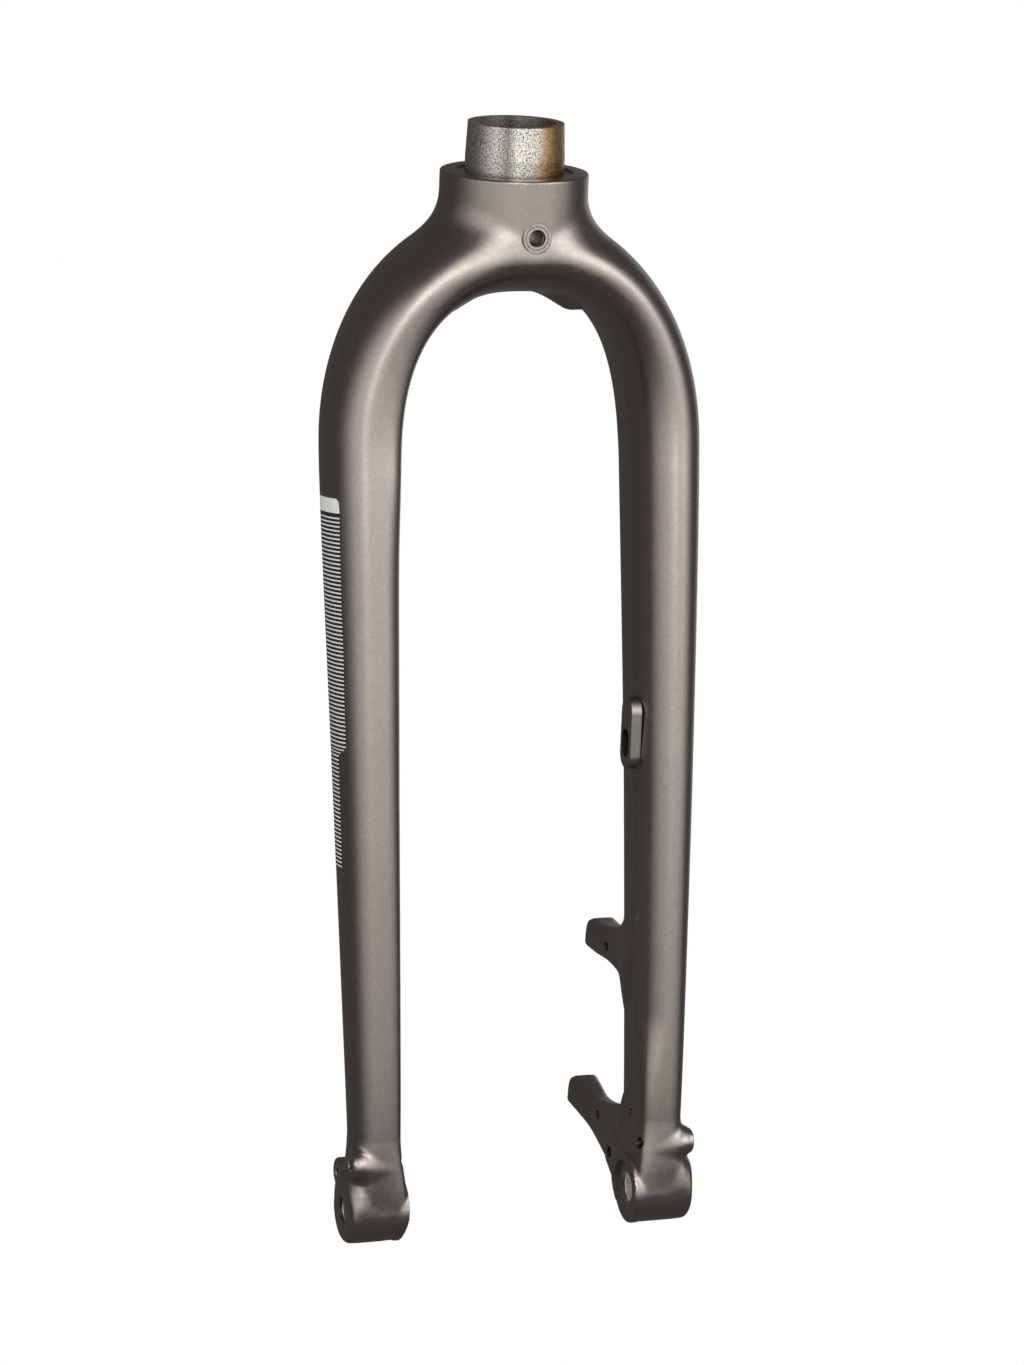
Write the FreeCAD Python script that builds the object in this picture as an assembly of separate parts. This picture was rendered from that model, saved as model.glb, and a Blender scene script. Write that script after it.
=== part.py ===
"""Bicycle fork with a moulded one-piece body: crown, two legs and dropouts.

Millimetres. The origin is the centre of the crown's top face, on the steerer
axis. +Z runs up the steerer, -Y is the front of the bicycle and +X is the side
of the disc brake.
"""
import FreeCAD, Part
import math
import os

# Fits
BOND_GAP = 0.08             # adhesive line round every bonded piece
LAP = 1.0                   # how far two joined shapes run into each other
SLEEVE_CHAMFER = 0.4        # at both ends of a sleeve's bore
OVERCUT = 5.0               # how far a cutting tool runs past a face

# Steerer stub
SEAT_RADIUS = 19.9          # straight seat for the headset's crown race
SEAT_HEIGHT = 6.0
STUB_HEIGHT = 19.5          # square cut above the crown
STUB_TOP_RADIUS = 19.3
STEERER_WALL = 3.4
STEERER_SHOULDER = 0.6      # how far the race seat stands out from the bonded foot
STEERER_DEPTH = 31.0        # how far the tube reaches into the crown

# Collar on the crown
COLLAR_RADIUS = 29.8
COLLAR_SHARE = 0.585        # how far the collar reaches into the arch, as a share of its thickness
COLLAR_EDGE = 0.9
STEP_RADIUS = 23.5          # step round the steerer in the crown's top face
STEP_DEPTH = 0.8
NECK_REACH = 5.0            # how far the neck's fillet exceeds the arch's drop

# Arch of the crown, seen from the front
ARCH_TOP_DROP = 14.0        # from the crown's face down to the top of the arch
CROWN_THICKNESS = 34.2      # from there down to the arch inside
SHOULDER_HALF_WIDTH = 78.9
SHOULDER_RISE = 94.0        # from the shoulders' full width up to the top of the arch
SHOULDER_FULLNESS = 2.03    # 2 is an ellipse, more is squarer
LEG_GAP = 101.0             # clear width between the legs
ARCH_RISE = 76.8            # from the straight legs up to the arch inside
ARCH_FULLNESS = 2.75
CROWN_DEPTH = 60.6          # front to back at the steerer
LOBE_RADIUS = 8.0           # swellings under the crown, one each side
LOBE_Y = 2.0
LOBE_START = (12.0, -40.0)  # x and z of a lobe's ends
LOBE_END = (24.5, -46.5)

# Legs
LEG_TOP_DEPTH = 45.0        # front to back where the straight leg begins
LEG_END_DEPTH = 28.0        # front to back above the dropout
LEG_END_WIDTH = 20.0        # across, above the dropout
LEG_END_HEIGHT = 32.0       # above the axle, where the straight leg ends
LEG_END_GAP = 102.6         # clear width between the legs there
LEG_TOP_SET = 9.0           # how far the leg's centre leans forward at its top
LEG_TOP_SKEW = 0.5          # how far the outer wall stands forward of the centre
LEG_END_SKEW = 1.3
OUTER_FULLNESS = 2.25
INNER_FULLNESS = 3.1
INNER_END_FULLNESS = 5.0    # squarer above the dropout, round the eyelet
LEG_END_BOW = 1.6           # how far the leg bows forward above the dropout
FLARE_START = 12.0          # height above the axle where the leg begins to flare out
FLARE_FULLNESS = 3.2        # outer fullness there
FLARE_INSET = 0.4           # how far the flare's end stays inside the dropout
DROPOUT_FULLNESS = 5.5      # nearly square where the leg meets the dropout

# Axle and dropouts
AXLE_FORWARD = 46.2
AXLE_DROP = 416.0
HUB_WIDTH = 100.0
DRIVE_DROPOUT_RADIUS = 13.75
DISC_DROPOUT_RADIUS = 14.4
DRIVE_DROPOUT_WIDTH = 22.8
DISC_DROPOUT_WIDTH = 24.2
DROPOUT_EDGE = 2.2
HUB_SEAT_RADIUS = 11.4
HUB_RIM_STEP = 0.4          # how far the rim round the hub's seat stands out from the dropout
HUB_RIM_HEIGHT = 1.5
HUB_RIM_EDGE = 0.7
AXLE_RADIUS = 6.05
AXLE_THREAD_RADIUS = 5.3
AXLE_SLEEVE_WALL = 1.7
SLEEVE_LIP = 1.6            # painted lip that holds each axle sleeve
LIP_CLEARANCE = 0.3         # how far the lip stands back from the axle

# Eyelets for a mudguard and a rack, the same on both legs
FRONT_HORN = [              # in from the face, half height, half depth of the front boss
    (0.0, 4.5, 4.6), (1.0, 5.3, 5.4), (4.0, 5.7, 5.7), (8.0, 7.0, 6.8), (12.0, 9.8, 8.6), (17.0, 14.5, 10.5)]
HORN_SETBACK = 0.14         # how far the boss's front falls back per mm towards its root
HORN_STRAIGHT = 3.0         # how far in from the face that begins
FRONT_EYELET_AHEAD = 9.1    # ahead of the axle
FRONT_EYELET_ABOVE = 22.2   # above the axle
FRONT_EYELET_FACE = 73.2
FRONT_EYELET_RADIUS = 5.5
REAR_EYELET_BEHIND = 21.9
REAR_EYELET_ABOVE = 8.0
REAR_EYELET_FACE = 68.5
REAR_EYELET_RADIUS = 6.3
EYELET_THREAD_RADIUS = 2.1
EYELET_SLEEVE_WALL = 1.2
EYELET_INNER_FACE = 54.5    # inner end of the sleeves that go through a leg
REAR_WEB_WIDTH = 9.0
DISC_WEB_WIDTH = 17.8       # the disc leg's web goes on to the inner face of the brake tab
REAR_WEB_SHARE = 0.8        # the web's height at the dropout, as a share of the dropout's

# Brake posts on the disc leg
POST_X = 54.9
POST_TILT = 10.1            # degrees, the posts' faces look back and up
POST_SPACING = 74.2
LOWER_POST_BEHIND = 70.2    # behind the axle
LOWER_POST_ABOVE = 19.5     # above the axle
POST_RADIUS = 6.6
UPPER_TAB = [               # in from the face, rise of the centre, half height, half width
    (9.0, 1.8, 7.0, 6.0), (21.0, 5.0, 8.2, 4.6), (33.0, 8.0, 11.6, 5.0), (44.0, 9.0, 17.0, 5.4)]
LOWER_TAB = [
    (9.0, 0.8, 7.3, 5.8), (22.0, 0.9, 8.1, 4.4), (38.0, 1.6, 12.2, 4.2), (54.0, 4.0, 18.0, 4.6)]
TAB_RISES = (0.2, 0.4)      # rise of the tabs' centres at their faces, lower and upper
TAB_FULLNESS = 2.6
POST_THREAD_RADIUS = 2.6
POST_SLEEVE_WALL = 1.5
POST_SLEEVE_LENGTH = 15.0
POST_CROSS_HOLE_RADIUS = 1.9
POST_CROSS_HOLES = ((29.6, 3.7), (19.8, 3.6))    # in from the face and up from the post's axis, lower and upper

# Hose port in the disc leg
PORT_AHEAD = 1.24           # ahead of the leg's centre line
PORT_DROP = 119.0           # below the shoulders
PORT_WIDTH = 12.2
PORT_HEIGHT = 30.0
PORT_PROUD = 2.8
PORT_THICKNESS = 4.4
PORT_EDGE = 0.8
PORT_HOLE_WIDTH = 7.4
PORT_HOLE_HEIGHT = 11.5
PORT_HOLE_DROP = 4.0
PORT_HOLE_DEPTH = 9.0

# Threaded insert in the crown
INSERT_Z = -22.4
INSERT_FLANGE_RADIUS = 5.75
INSERT_FLANGE_THICKNESS = 1.2
INSERT_PROUD = 0.5
INSERT_BODY_RADIUS = 4.4
INSERT_LENGTH = 9.0
INSERT_THREAD_RADIUS = 2.6
INSERT_MOUTH_RADIUS = 3.5
INSERT_MOUTH_DEPTH = 2.0
INSERT_TAPER = 0.9          # length of the cone between the mouth and the thread

# Vent in the disc leg
VENT_BEHIND = 2.12          # behind the leg's centre line
VENT_ABOVE = 32.4           # above the axle
VENT_RADIUS = 0.8
VENT_DEPTH = 6.0

# Derived
STEERER_FOOT_RADIUS = SEAT_RADIUS - STEERER_SHOULDER
LEG_INNER = LEG_GAP / 2.0
LEG_END_INNER = LEG_END_GAP / 2.0
HUB_FACE = HUB_WIDTH / 2.0
DROPOUT_FACES = {-1: HUB_FACE + DRIVE_DROPOUT_WIDTH, 1: HUB_FACE + DISC_DROPOUT_WIDTH}
DROPOUT_RADII = {-1: DRIVE_DROPOUT_RADIUS, 1: DISC_DROPOUT_RADIUS}
AXLE_SLEEVE_RADIUS = AXLE_RADIUS + AXLE_SLEEVE_WALL
EYELET_SLEEVE_RADIUS = EYELET_THREAD_RADIUS + EYELET_SLEEVE_WALL
POST_SLEEVE_RADIUS = POST_THREAD_RADIUS + POST_SLEEVE_WALL
COLLAR_HEIGHT = ARCH_TOP_DROP + COLLAR_SHARE * CROWN_THICKNESS
NECK_FILLET = ARCH_TOP_DROP + NECK_REACH
SHOULDER_Z = -ARCH_TOP_DROP - SHOULDER_RISE
ARCH_Z = -ARCH_TOP_DROP - CROWN_THICKNESS - ARCH_RISE
LEG_END_Z = LEG_END_HEIGHT - AXLE_DROP
FRONT_EYELET_Y = -AXLE_FORWARD - FRONT_EYELET_AHEAD
FRONT_EYELET_Z = FRONT_EYELET_ABOVE - AXLE_DROP
REAR_EYELET_Y = REAR_EYELET_BEHIND - AXLE_FORWARD
REAR_EYELET_Z = REAR_EYELET_ABOVE - AXLE_DROP
LOWER_POST_Y = LOWER_POST_BEHIND - AXLE_FORWARD
LOWER_POST_Z = LOWER_POST_ABOVE - AXLE_DROP
PORT_Z = SHOULDER_Z - PORT_DROP
VENT_Z = VENT_ABOVE - AXLE_DROP
DRIVE, DISC = -1, 1
ALONG_X = FreeCAD.Vector(1, 0, 0)
ALONG_Y = FreeCAD.Vector(0, 1, 0)
RING_POINTS = 24
LEG_STATIONS = (0.116, 0.308, 0.5435, 0.779, 1.0)    # places of the leg's sections along it
ARCH_STATIONS = (-76, -62, -48, -33, -17, 0, 17, 33, 48, 62, 76)    # degrees


def point(x, y, z):
    """A point or a direction."""
    return FreeCAD.Vector(x, y, z)


def rod(radius, start, end):
    """Round rod between two points."""
    line = end - start
    return Part.makeCylinder(radius, line.Length, start, line)


def cone(radius_a, radius_b, start, end):
    """Tapered rod between two points."""
    line = end - start
    return Part.makeCone(radius_a, radius_b, line.Length, start, line)


def across(side, radius, inner, outer, y, z):
    """Rod across the fork on one side, between two distances from its middle."""
    return rod(radius, point(side * inner, y, z), point(side * outer, y, z))


def ring(centre, half_u, half_w, fullness_plus, fullness_minus):
    """Closed smooth curve round a centre, fuller or rounder on either side of it."""
    points = []
    for k in range(RING_POINTS):
        angle = 2.0 * math.pi * k / RING_POINTS
        c, s = math.cos(angle), math.sin(angle)
        power = 2.0 / (fullness_plus if c > 0 else fullness_minus)
        along_u = math.copysign(abs(c) ** power, c)
        along_w = math.copysign(abs(s) ** power, s)
        points.append(centre + half_u * along_u + half_w * along_w)
    curve = Part.BSplineCurve()
    steps = [float(k) for k in range(RING_POINTS + 1)]
    curve.interpolate(Points=points, PeriodicFlag=True, Parameters=steps)
    return curve


def skin(rings, stations, joins=()):
    """Smooth solid through closed rings, each at its distance along the form.

    Its side is one surface, laid out as one face between each two joins.
    """
    columns = []
    for k in range(len(rings[0].getPoles())):
        column = Part.BSplineCurve()
        column.interpolate(Points=[r.getPole(k + 1) for r in rings], Parameters=stations)
        columns.append(column)
    lead, around = columns[0], rings[0]
    rows = len(lead.getPoles())
    grid = [[column.getPole(i + 1) for column in columns] for i in range(rows)]
    surface = Part.BSplineSurface()
    surface.buildFromPolesMultsKnots(
        grid, lead.getMultiplicities(), around.getMultiplicities(),
        lead.getKnots(), around.getKnots(), False, True, lead.Degree, around.Degree)
    limits = [stations[0]] + list(joins) + [stations[-1]]
    faces = [surface.toShape(a, b, 0.0, float(RING_POINTS)) for a, b in zip(limits, limits[1:])]
    faces += [Part.Face(Part.Wire([end.toShape()])) for end in (rings[0], rings[-1])]
    shell = Part.makeShell(faces)
    shell.sewShape()
    solid = Part.makeSolid(shell)
    solid.fix(1e-3, 1e-4, 1e-2)
    if solid.Volume < 0:
        solid.reverse()
    return solid


def between(start, end, t):
    """Value a share t of the way from start to end."""
    return start + (end - start) * t


def leg_lean(z):
    """Place of a leg's centre line from front to back at height z."""
    t = min(1.0, max(0.0, (SHOULDER_Z - z) / (AXLE_DROP + SHOULDER_Z)))
    ease = 0.42 * math.sin(t * math.pi / 2.0) + 0.58 * t
    bow = LEG_END_BOW * math.sin(math.pi * t ** 6)
    return -LEG_TOP_SET - (AXLE_FORWARD - LEG_TOP_SET) * ease - bow


def body_ring(outer, inner, lean, skew, depth, outer_fullness, inner_fullness):
    """Cross-section of the fork between an outer and an inner point (x, z)."""
    centre = point((outer[0] + inner[0]) / 2.0, lean, (outer[1] + inner[1]) / 2.0)
    half_u = point((outer[0] - inner[0]) / 2.0, -skew, (outer[1] - inner[1]) / 2.0)
    half_w = point(0, depth / 2.0, 0)
    return ring(centre, half_u, half_w, outer_fullness, inner_fullness), centre


def arch_ring(degrees):
    """Cross-section of the arch at an angle from the steerer, 90 at a leg."""
    side = math.copysign(1.0, degrees)
    a = math.radians(abs(degrees))
    power = 2.0 / SHOULDER_FULLNESS
    outer = (side * SHOULDER_HALF_WIDTH * math.sin(a) ** power,
             SHOULDER_Z + SHOULDER_RISE * math.cos(a) ** power)
    power = 2.0 / ARCH_FULLNESS
    inner = (side * LEG_INNER * math.sin(a) ** power, ARCH_Z + ARCH_RISE * math.cos(a) ** power)
    t = math.sin(a) ** 2
    depth = CROWN_DEPTH + (LEG_TOP_DEPTH - CROWN_DEPTH) * t
    lean = -LEG_TOP_SET * (1.0 - math.cos(a)) ** 1.5
    outer_fullness = 2.0 + (OUTER_FULLNESS - 2.0) * t
    inner_fullness = 2.2 + (INNER_FULLNESS - 2.2) * t
    return body_ring(outer, inner, lean, LEG_TOP_SKEW * t, depth, outer_fullness, inner_fullness)


def leg_ring(side, z):
    """Cross-section of a leg at height z."""
    t = min(1.0, (SHOULDER_Z - z) / (SHOULDER_Z - LEG_END_Z))
    inner = between(LEG_INNER, LEG_END_INNER, min(1.0, 2.0 * t))
    half = between(SHOULDER_HALF_WIDTH, LEG_END_INNER + LEG_END_WIDTH, t)
    depth = between(LEG_TOP_DEPTH, LEG_END_DEPTH, t)
    skew = between(LEG_TOP_SKEW, LEG_END_SKEW, t)
    inner_fullness = between(INNER_FULLNESS, INNER_END_FULLNESS, t ** 3)
    return body_ring((side * half, z), (side * inner, z), leg_lean(z), skew, depth,
                     OUTER_FULLNESS, inner_fullness)


def flare_ring(side, z, outer_fullness):
    """Cross-section of a leg where it flares into the dropout, at height z."""
    t = (LEG_END_Z - z) / (LEG_END_Z + AXLE_DROP)
    half = between(LEG_END_INNER + LEG_END_WIDTH, DROPOUT_FACES[side] - FLARE_INSET, t * t)
    depth = between(LEG_END_DEPTH, 2.0 * DROPOUT_RADII[side] - FLARE_INSET, t)
    inner_fullness = between(INNER_END_FULLNESS, DROPOUT_FULLNESS, t)
    return body_ring((side * half, z), (side * LEG_END_INNER, z), leg_lean(z), LEG_END_SKEW * (1.0 - t),
                     depth, outer_fullness, inner_fullness)


def arch_and_legs():
    """The crown's arch and both legs as one smooth form."""
    heights = [between(SHOULDER_Z, LEG_END_Z, share) for share in LEG_STATIONS]
    ends = [(-AXLE_DROP + FLARE_START, FLARE_FULLNESS), (-AXLE_DROP, DROPOUT_FULLNESS)]
    rings = [flare_ring(DRIVE, z, fullness) for z, fullness in reversed(ends)]
    rings += [leg_ring(DRIVE, z) for z in reversed(heights)]
    rings += [arch_ring(a) for a in ARCH_STATIONS]
    rings += [leg_ring(DISC, z) for z in heights]
    rings += [flare_ring(DISC, z, fullness) for z, fullness in ends]
    stations = [0.0]
    for (_, a), (_, b) in zip(rings, rings[1:]):
        stations.append(stations[-1] + (b - a).Length)
    joins = [stations[k] for k in (2, 6, 10, 14, 18)]
    return skin([r for r, _ in rings], stations, joins)


def lies_on_collar(edge):
    """True for an edge where the collar's wall runs into the arch."""
    if edge.BoundBox.ZMax > -1.0 or edge.Length < 1.0:
        return False
    span = edge.LastParameter - edge.FirstParameter
    places = [edge.valueAt(edge.FirstParameter + span * k / 4.0) for k in range(5)]
    off = max(abs(math.hypot(p.x, p.y) - COLLAR_RADIUS) for p in places)
    flat = max(p.z for p in places) - min(p.z for p in places) < 0.01
    return off < 0.05 and not flat


def crown_and_legs():
    """Arch and legs with the collar blended in."""
    collar = Part.makeCylinder(COLLAR_RADIUS, COLLAR_HEIGHT, point(0, 0, -COLLAR_HEIGHT))
    collar.rotate(point(0, 0, 0), point(0, 0, 1), 90)
    form = arch_and_legs().fuse(collar)
    neck = [e for e in form.Edges if lies_on_collar(e)]
    form = form.makeFillet(NECK_FILLET, neck)
    top = [e for e in form.Edges if e.BoundBox.ZMin > -0.01 and e.isClosed()]
    return form.makeFillet(COLLAR_EDGE, top)


def crown_lobe(side):
    """Swelling under one side of the crown."""
    start = point(side * LOBE_START[0], LOBE_Y, LOBE_START[1])
    end = point(side * LOBE_END[0], LOBE_Y, LOBE_END[1])
    return rod(LOBE_RADIUS, start, end).fuse(Part.makeSphere(LOBE_RADIUS, end))


def dropout(side):
    """Round end of a leg with the raised rim round the hub's seat."""
    y, z = -AXLE_FORWARD, -AXLE_DROP
    face = DROPOUT_FACES[side]
    lug = across(side, DROPOUT_RADII[side], HUB_FACE, face, y, z)
    edge = [e for e in lug.Edges if abs(abs(e.BoundBox.Center.x) - face) < 0.01
            and e.BoundBox.XLength < 0.01]
    lug = lug.makeFillet(DROPOUT_EDGE, edge)
    rim_radius = DROPOUT_RADII[side] + HUB_RIM_STEP
    rim = across(side, rim_radius, HUB_FACE - HUB_RIM_HEIGHT, LEG_END_INNER + LAP, y, z)
    edge = [e for e in rim.Edges if abs(abs(e.BoundBox.Center.x) - HUB_FACE + HUB_RIM_HEIGHT) < 0.01
            and e.BoundBox.XLength < 0.01]
    rim = rim.makeFillet(HUB_RIM_EDGE, edge)
    return lug.fuse(rim)


def eyelet_bosses(side):
    """Bosses of the front and the rear eyelet, with the rear one's web."""
    front = front_horn(side)
    inner = REAR_EYELET_FACE - (REAR_WEB_WIDTH if side == DRIVE else DISC_WEB_WIDTH)
    rear = across(side, REAR_EYELET_RADIUS, inner, REAR_EYELET_FACE, REAR_EYELET_Y, REAR_EYELET_Z)
    return front.fuse(rear).fuse(rear_web(side, inner, REAR_EYELET_FACE))


def front_horn(side):
    """Boss of the front eyelet, swelling from its face to its root in the leg."""
    front_y = FRONT_EYELET_Y - FRONT_EYELET_RADIUS
    curves = []
    for inward, half_height, half_depth in FRONT_HORN:
        setback = HORN_SETBACK * max(0.0, inward - HORN_STRAIGHT)
        centre = point(side * (FRONT_EYELET_FACE - inward), front_y + half_depth + setback, FRONT_EYELET_Z)
        curves.append(ring(centre, point(0, 0, half_height), point(0, half_depth, 0), 2.0, 2.0))
    return skin(curves, [row[0] for row in FRONT_HORN])


def rear_web(side, inner, outer):
    """Web with straight flanks between the dropout and the rear eyelet."""
    a = point(0, -AXLE_FORWARD, -AXLE_DROP)
    b = point(0, REAR_EYELET_Y, REAR_EYELET_Z)
    line = b - a
    line.normalize()
    normal = point(0, -line.z, line.y)
    ra, rb = DROPOUT_RADII[side] * REAR_WEB_SHARE, REAR_EYELET_RADIUS
    corners = [a + normal * ra, b + normal * rb, b - normal * rb, a - normal * ra]
    start = side * inner
    corners = [point(start, c.y, c.z) for c in corners]
    face = Part.Face(Part.makePolygon(corners + corners[:1]))
    return face.extrude(point(side * (outer - inner), 0, 0))


def post_centre(which):
    """Centre of a brake post's face, 0 for the lower and 1 for the upper."""
    tilt = math.radians(POST_TILT)
    return point(POST_X, LOWER_POST_Y - which * POST_SPACING * math.sin(tilt),
                 LOWER_POST_Z + which * POST_SPACING * math.cos(tilt))


def post_axis():
    """Direction out of the posts' faces."""
    tilt = math.radians(POST_TILT)
    return point(0, math.cos(tilt), math.sin(tilt))


def post_tab(which, rings):
    """Tab that swells from a brake post's face to its root in the leg.

    Each ring is its distance in from the face, the rise of its centre, its
    half height and its half width.
    """
    face = post_centre(which)
    out = post_axis()
    up = point(0, -out.z, out.y)
    curves = []
    for depth, rise, half_height, half_width in rings:
        centre = face - out * depth + up * rise
        curves.append(ring(centre, up * half_height, ALONG_X * half_width, TAB_FULLNESS, TAB_FULLNESS))
    return skin(curves, [r[0] for r in rings])


def brake_tabs():
    """Both brake tabs of the disc leg."""
    faces = [(0.0, rise, POST_RADIUS, POST_RADIUS) for rise in TAB_RISES]
    return post_tab(1, [faces[1]] + UPPER_TAB).fuse(post_tab(0, [faces[0]] + LOWER_TAB))


def port_outline(width, height, x, drop, thickness):
    """Upright slot with round ends on the disc leg's inner face."""
    half = (height - width) / 2.0
    r = width / 2.0
    y, z = leg_lean(PORT_Z) - PORT_AHEAD, PORT_Z - drop
    low_a, low_b = point(x, y - r, z - half), point(x, y + r, z - half)
    top_a, top_b = point(x, y - r, z + half), point(x, y + r, z + half)
    edges = [
        Part.makeLine(low_a, top_a),
        Part.Arc(top_a, point(x, y, z + half + r), top_b).toShape(),
        Part.makeLine(top_b, low_b),
        Part.Arc(low_b, point(x, y, z - half - r), low_a).toShape(),
    ]
    return Part.Face(Part.Wire(edges)).extrude(point(thickness, 0, 0))


def hub_seat(side):
    """Round seat for the hub's end, with the way in from below."""
    y, z = -AXLE_FORWARD, -AXLE_DROP
    start = HUB_FACE - HUB_RIM_HEIGHT - OVERCUT
    seat = across(side, HUB_SEAT_RADIUS, start, HUB_FACE, y, z)
    depth = HUB_RIM_HEIGHT + OVERCUT
    low_x = start if side > 0 else -HUB_FACE
    drop = 2.0 * DROPOUT_RADII[side]
    way = Part.makeBox(depth, 2.0 * HUB_SEAT_RADIUS, drop, point(low_x, y - HUB_SEAT_RADIUS, z - drop))
    return seat.fuse(way)


def axle_holes():
    """Bores for the axle and the pockets of its two sleeves."""
    y, z = -AXLE_FORWARD, -AXLE_DROP
    pocket = AXLE_SLEEVE_RADIUS + BOND_GAP
    start = HUB_FACE - OVERCUT
    thread = across(DRIVE, AXLE_THREAD_RADIUS + LIP_CLEARANCE, start, DROPOUT_FACES[DRIVE] + OVERCUT, y, z)
    drive = across(DRIVE, pocket, start, DROPOUT_FACES[DRIVE] - SLEEVE_LIP, y, z)
    plain = across(DISC, AXLE_RADIUS + LIP_CLEARANCE, start, DROPOUT_FACES[DISC] + OVERCUT, y, z)
    disc = across(DISC, pocket, HUB_FACE + SLEEVE_LIP, DROPOUT_FACES[DISC] + OVERCUT, y, z)
    return [thread.fuse(drive), plain.fuse(disc)]


def eyelet_holes(side):
    """Bores for the sleeves of a leg's two eyelets."""
    r = EYELET_SLEEVE_RADIUS + BOND_GAP
    clear = EYELET_THREAD_RADIUS + LIP_CLEARANCE
    start = LEG_INNER - OVERCUT
    cuts = []
    for y, z, face in ((FRONT_EYELET_Y, FRONT_EYELET_Z, FRONT_EYELET_FACE),
                       (REAR_EYELET_Y, REAR_EYELET_Z, REAR_EYELET_FACE)):
        cuts.append(across(side, r, EYELET_INNER_FACE, face + OVERCUT, y, z))
        cuts.append(across(side, clear, start, EYELET_INNER_FACE + LAP, y, z))
    return cuts


def post_holes():
    """Pockets for the brake posts' sleeves and the holes across the tabs behind them."""
    cuts = []
    out = post_axis()
    up = point(0, -out.z, out.y)
    reach = 2.0 * POST_RADIUS
    for which in (0, 1):
        face = post_centre(which)
        cuts.append(rod(POST_SLEEVE_RADIUS + BOND_GAP, face - out * POST_SLEEVE_LENGTH, face + out * OVERCUT))
        inward, rise = POST_CROSS_HOLES[which]
        hole = face - out * inward + up * rise
        cuts.append(across(DISC, POST_CROSS_HOLE_RADIUS, POST_X - reach, POST_X + reach, hole.y, hole.z))
    return cuts


def port_cuts():
    """Seat of the hose port's plate and the hole behind it."""
    front = LEG_INNER - PORT_PROUD
    seat = port_outline(PORT_WIDTH + 2 * BOND_GAP, PORT_HEIGHT + 2 * BOND_GAP, front, 0.0, PORT_THICKNESS)
    hole = port_outline(PORT_HOLE_WIDTH, PORT_HOLE_HEIGHT, front, PORT_HOLE_DROP,
                        PORT_THICKNESS + PORT_HOLE_DEPTH)
    return [seat, hole]


def insert_face_y():
    """Front face of the crown insert's flange."""
    return -COLLAR_RADIUS - INSERT_PROUD


def insert_pocket():
    """Pocket of the crown insert."""
    flange_back = insert_face_y() + INSERT_FLANGE_THICKNESS
    gap = BOND_GAP
    wide = rod(INSERT_FLANGE_RADIUS + gap, point(0, flange_back - OVERCUT, INSERT_Z),
               point(0, flange_back, INSERT_Z))
    end = insert_face_y() + INSERT_LENGTH
    deep = rod(INSERT_BODY_RADIUS + gap, point(0, flange_back - LAP, INSERT_Z), point(0, end, INSERT_Z))
    return wide.fuse(deep)


def steerer_pocket():
    """Socket for the steerer and the step round it."""
    radius = STEERER_FOOT_RADIUS + BOND_GAP
    socket = Part.makeCylinder(radius, STEERER_DEPTH + OVERCUT, point(0, 0, -STEERER_DEPTH))
    step = Part.makeCylinder(STEP_RADIUS, STEP_DEPTH + OVERCUT, point(0, 0, -STEP_DEPTH))
    return socket.fuse(step)


def fork_body():
    """Crown, legs, dropouts, eyelets and brake tabs, moulded in one piece."""
    added = [brake_tabs()]
    cuts = [steerer_pocket(), insert_pocket()] + axle_holes() + post_holes() + port_cuts()
    for side in (DRIVE, DISC):
        added += [dropout(side), eyelet_bosses(side), crown_lobe(side)]
        cuts += [hub_seat(side)] + eyelet_holes(side)
    vent_y = leg_lean(VENT_Z) + VENT_BEHIND
    cuts.append(across(DISC, VENT_RADIUS, LEG_INNER - OVERCUT, LEG_INNER + VENT_DEPTH, vent_y, VENT_Z))
    form = crown_and_legs().fuse(added)
    return form.cut(cuts)


def steerer_tube():
    """Stub of the steerer, square cut, with the straight race seat at its foot."""
    bore = SEAT_RADIUS - STEERER_WALL
    top_bore = STUB_TOP_RADIUS - STEERER_WALL
    foot = STEERER_FOOT_RADIUS
    shoulder = -STEP_DEPTH + BOND_GAP
    outline = [
        point(bore, 0, -STEERER_DEPTH), point(foot, 0, -STEERER_DEPTH),
        point(foot, 0, shoulder), point(SEAT_RADIUS, 0, shoulder),
        point(SEAT_RADIUS, 0, SEAT_HEIGHT), point(STUB_TOP_RADIUS, 0, STUB_HEIGHT),
        point(top_bore, 0, STUB_HEIGHT), point(bore, 0, SEAT_HEIGHT),
    ]
    face = Part.Face(Part.makePolygon(outline + outline[:1]))
    return face.revolve(point(0, 0, 0), point(0, 0, 1), 360)


def sleeve(radius, bore, start, end, chamfer):
    """Round sleeve with a chamfered bore."""
    line = end - start
    line.normalize()
    tube = rod(radius, start, end).cut(rod(bore, start - line, end + line))
    mouth = cone(bore + chamfer, bore, start, start + line * chamfer)
    exit_mouth = cone(bore, bore + chamfer, end - line * chamfer, end)
    return tube.cut(mouth).cut(exit_mouth)


def axle_sleeve(side):
    """Sleeve in a dropout: threaded on the drive side, plain on the disc side."""
    y, z = -AXLE_FORWARD, -AXLE_DROP
    if side == DRIVE:
        start, end, bore = HUB_FACE, DROPOUT_FACES[side] - SLEEVE_LIP, AXLE_THREAD_RADIUS
    else:
        start, end, bore = HUB_FACE + SLEEVE_LIP, DROPOUT_FACES[side], AXLE_RADIUS
    return sleeve(AXLE_SLEEVE_RADIUS, bore, point(side * start, y, z), point(side * end, y, z),
                  SLEEVE_CHAMFER)


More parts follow.
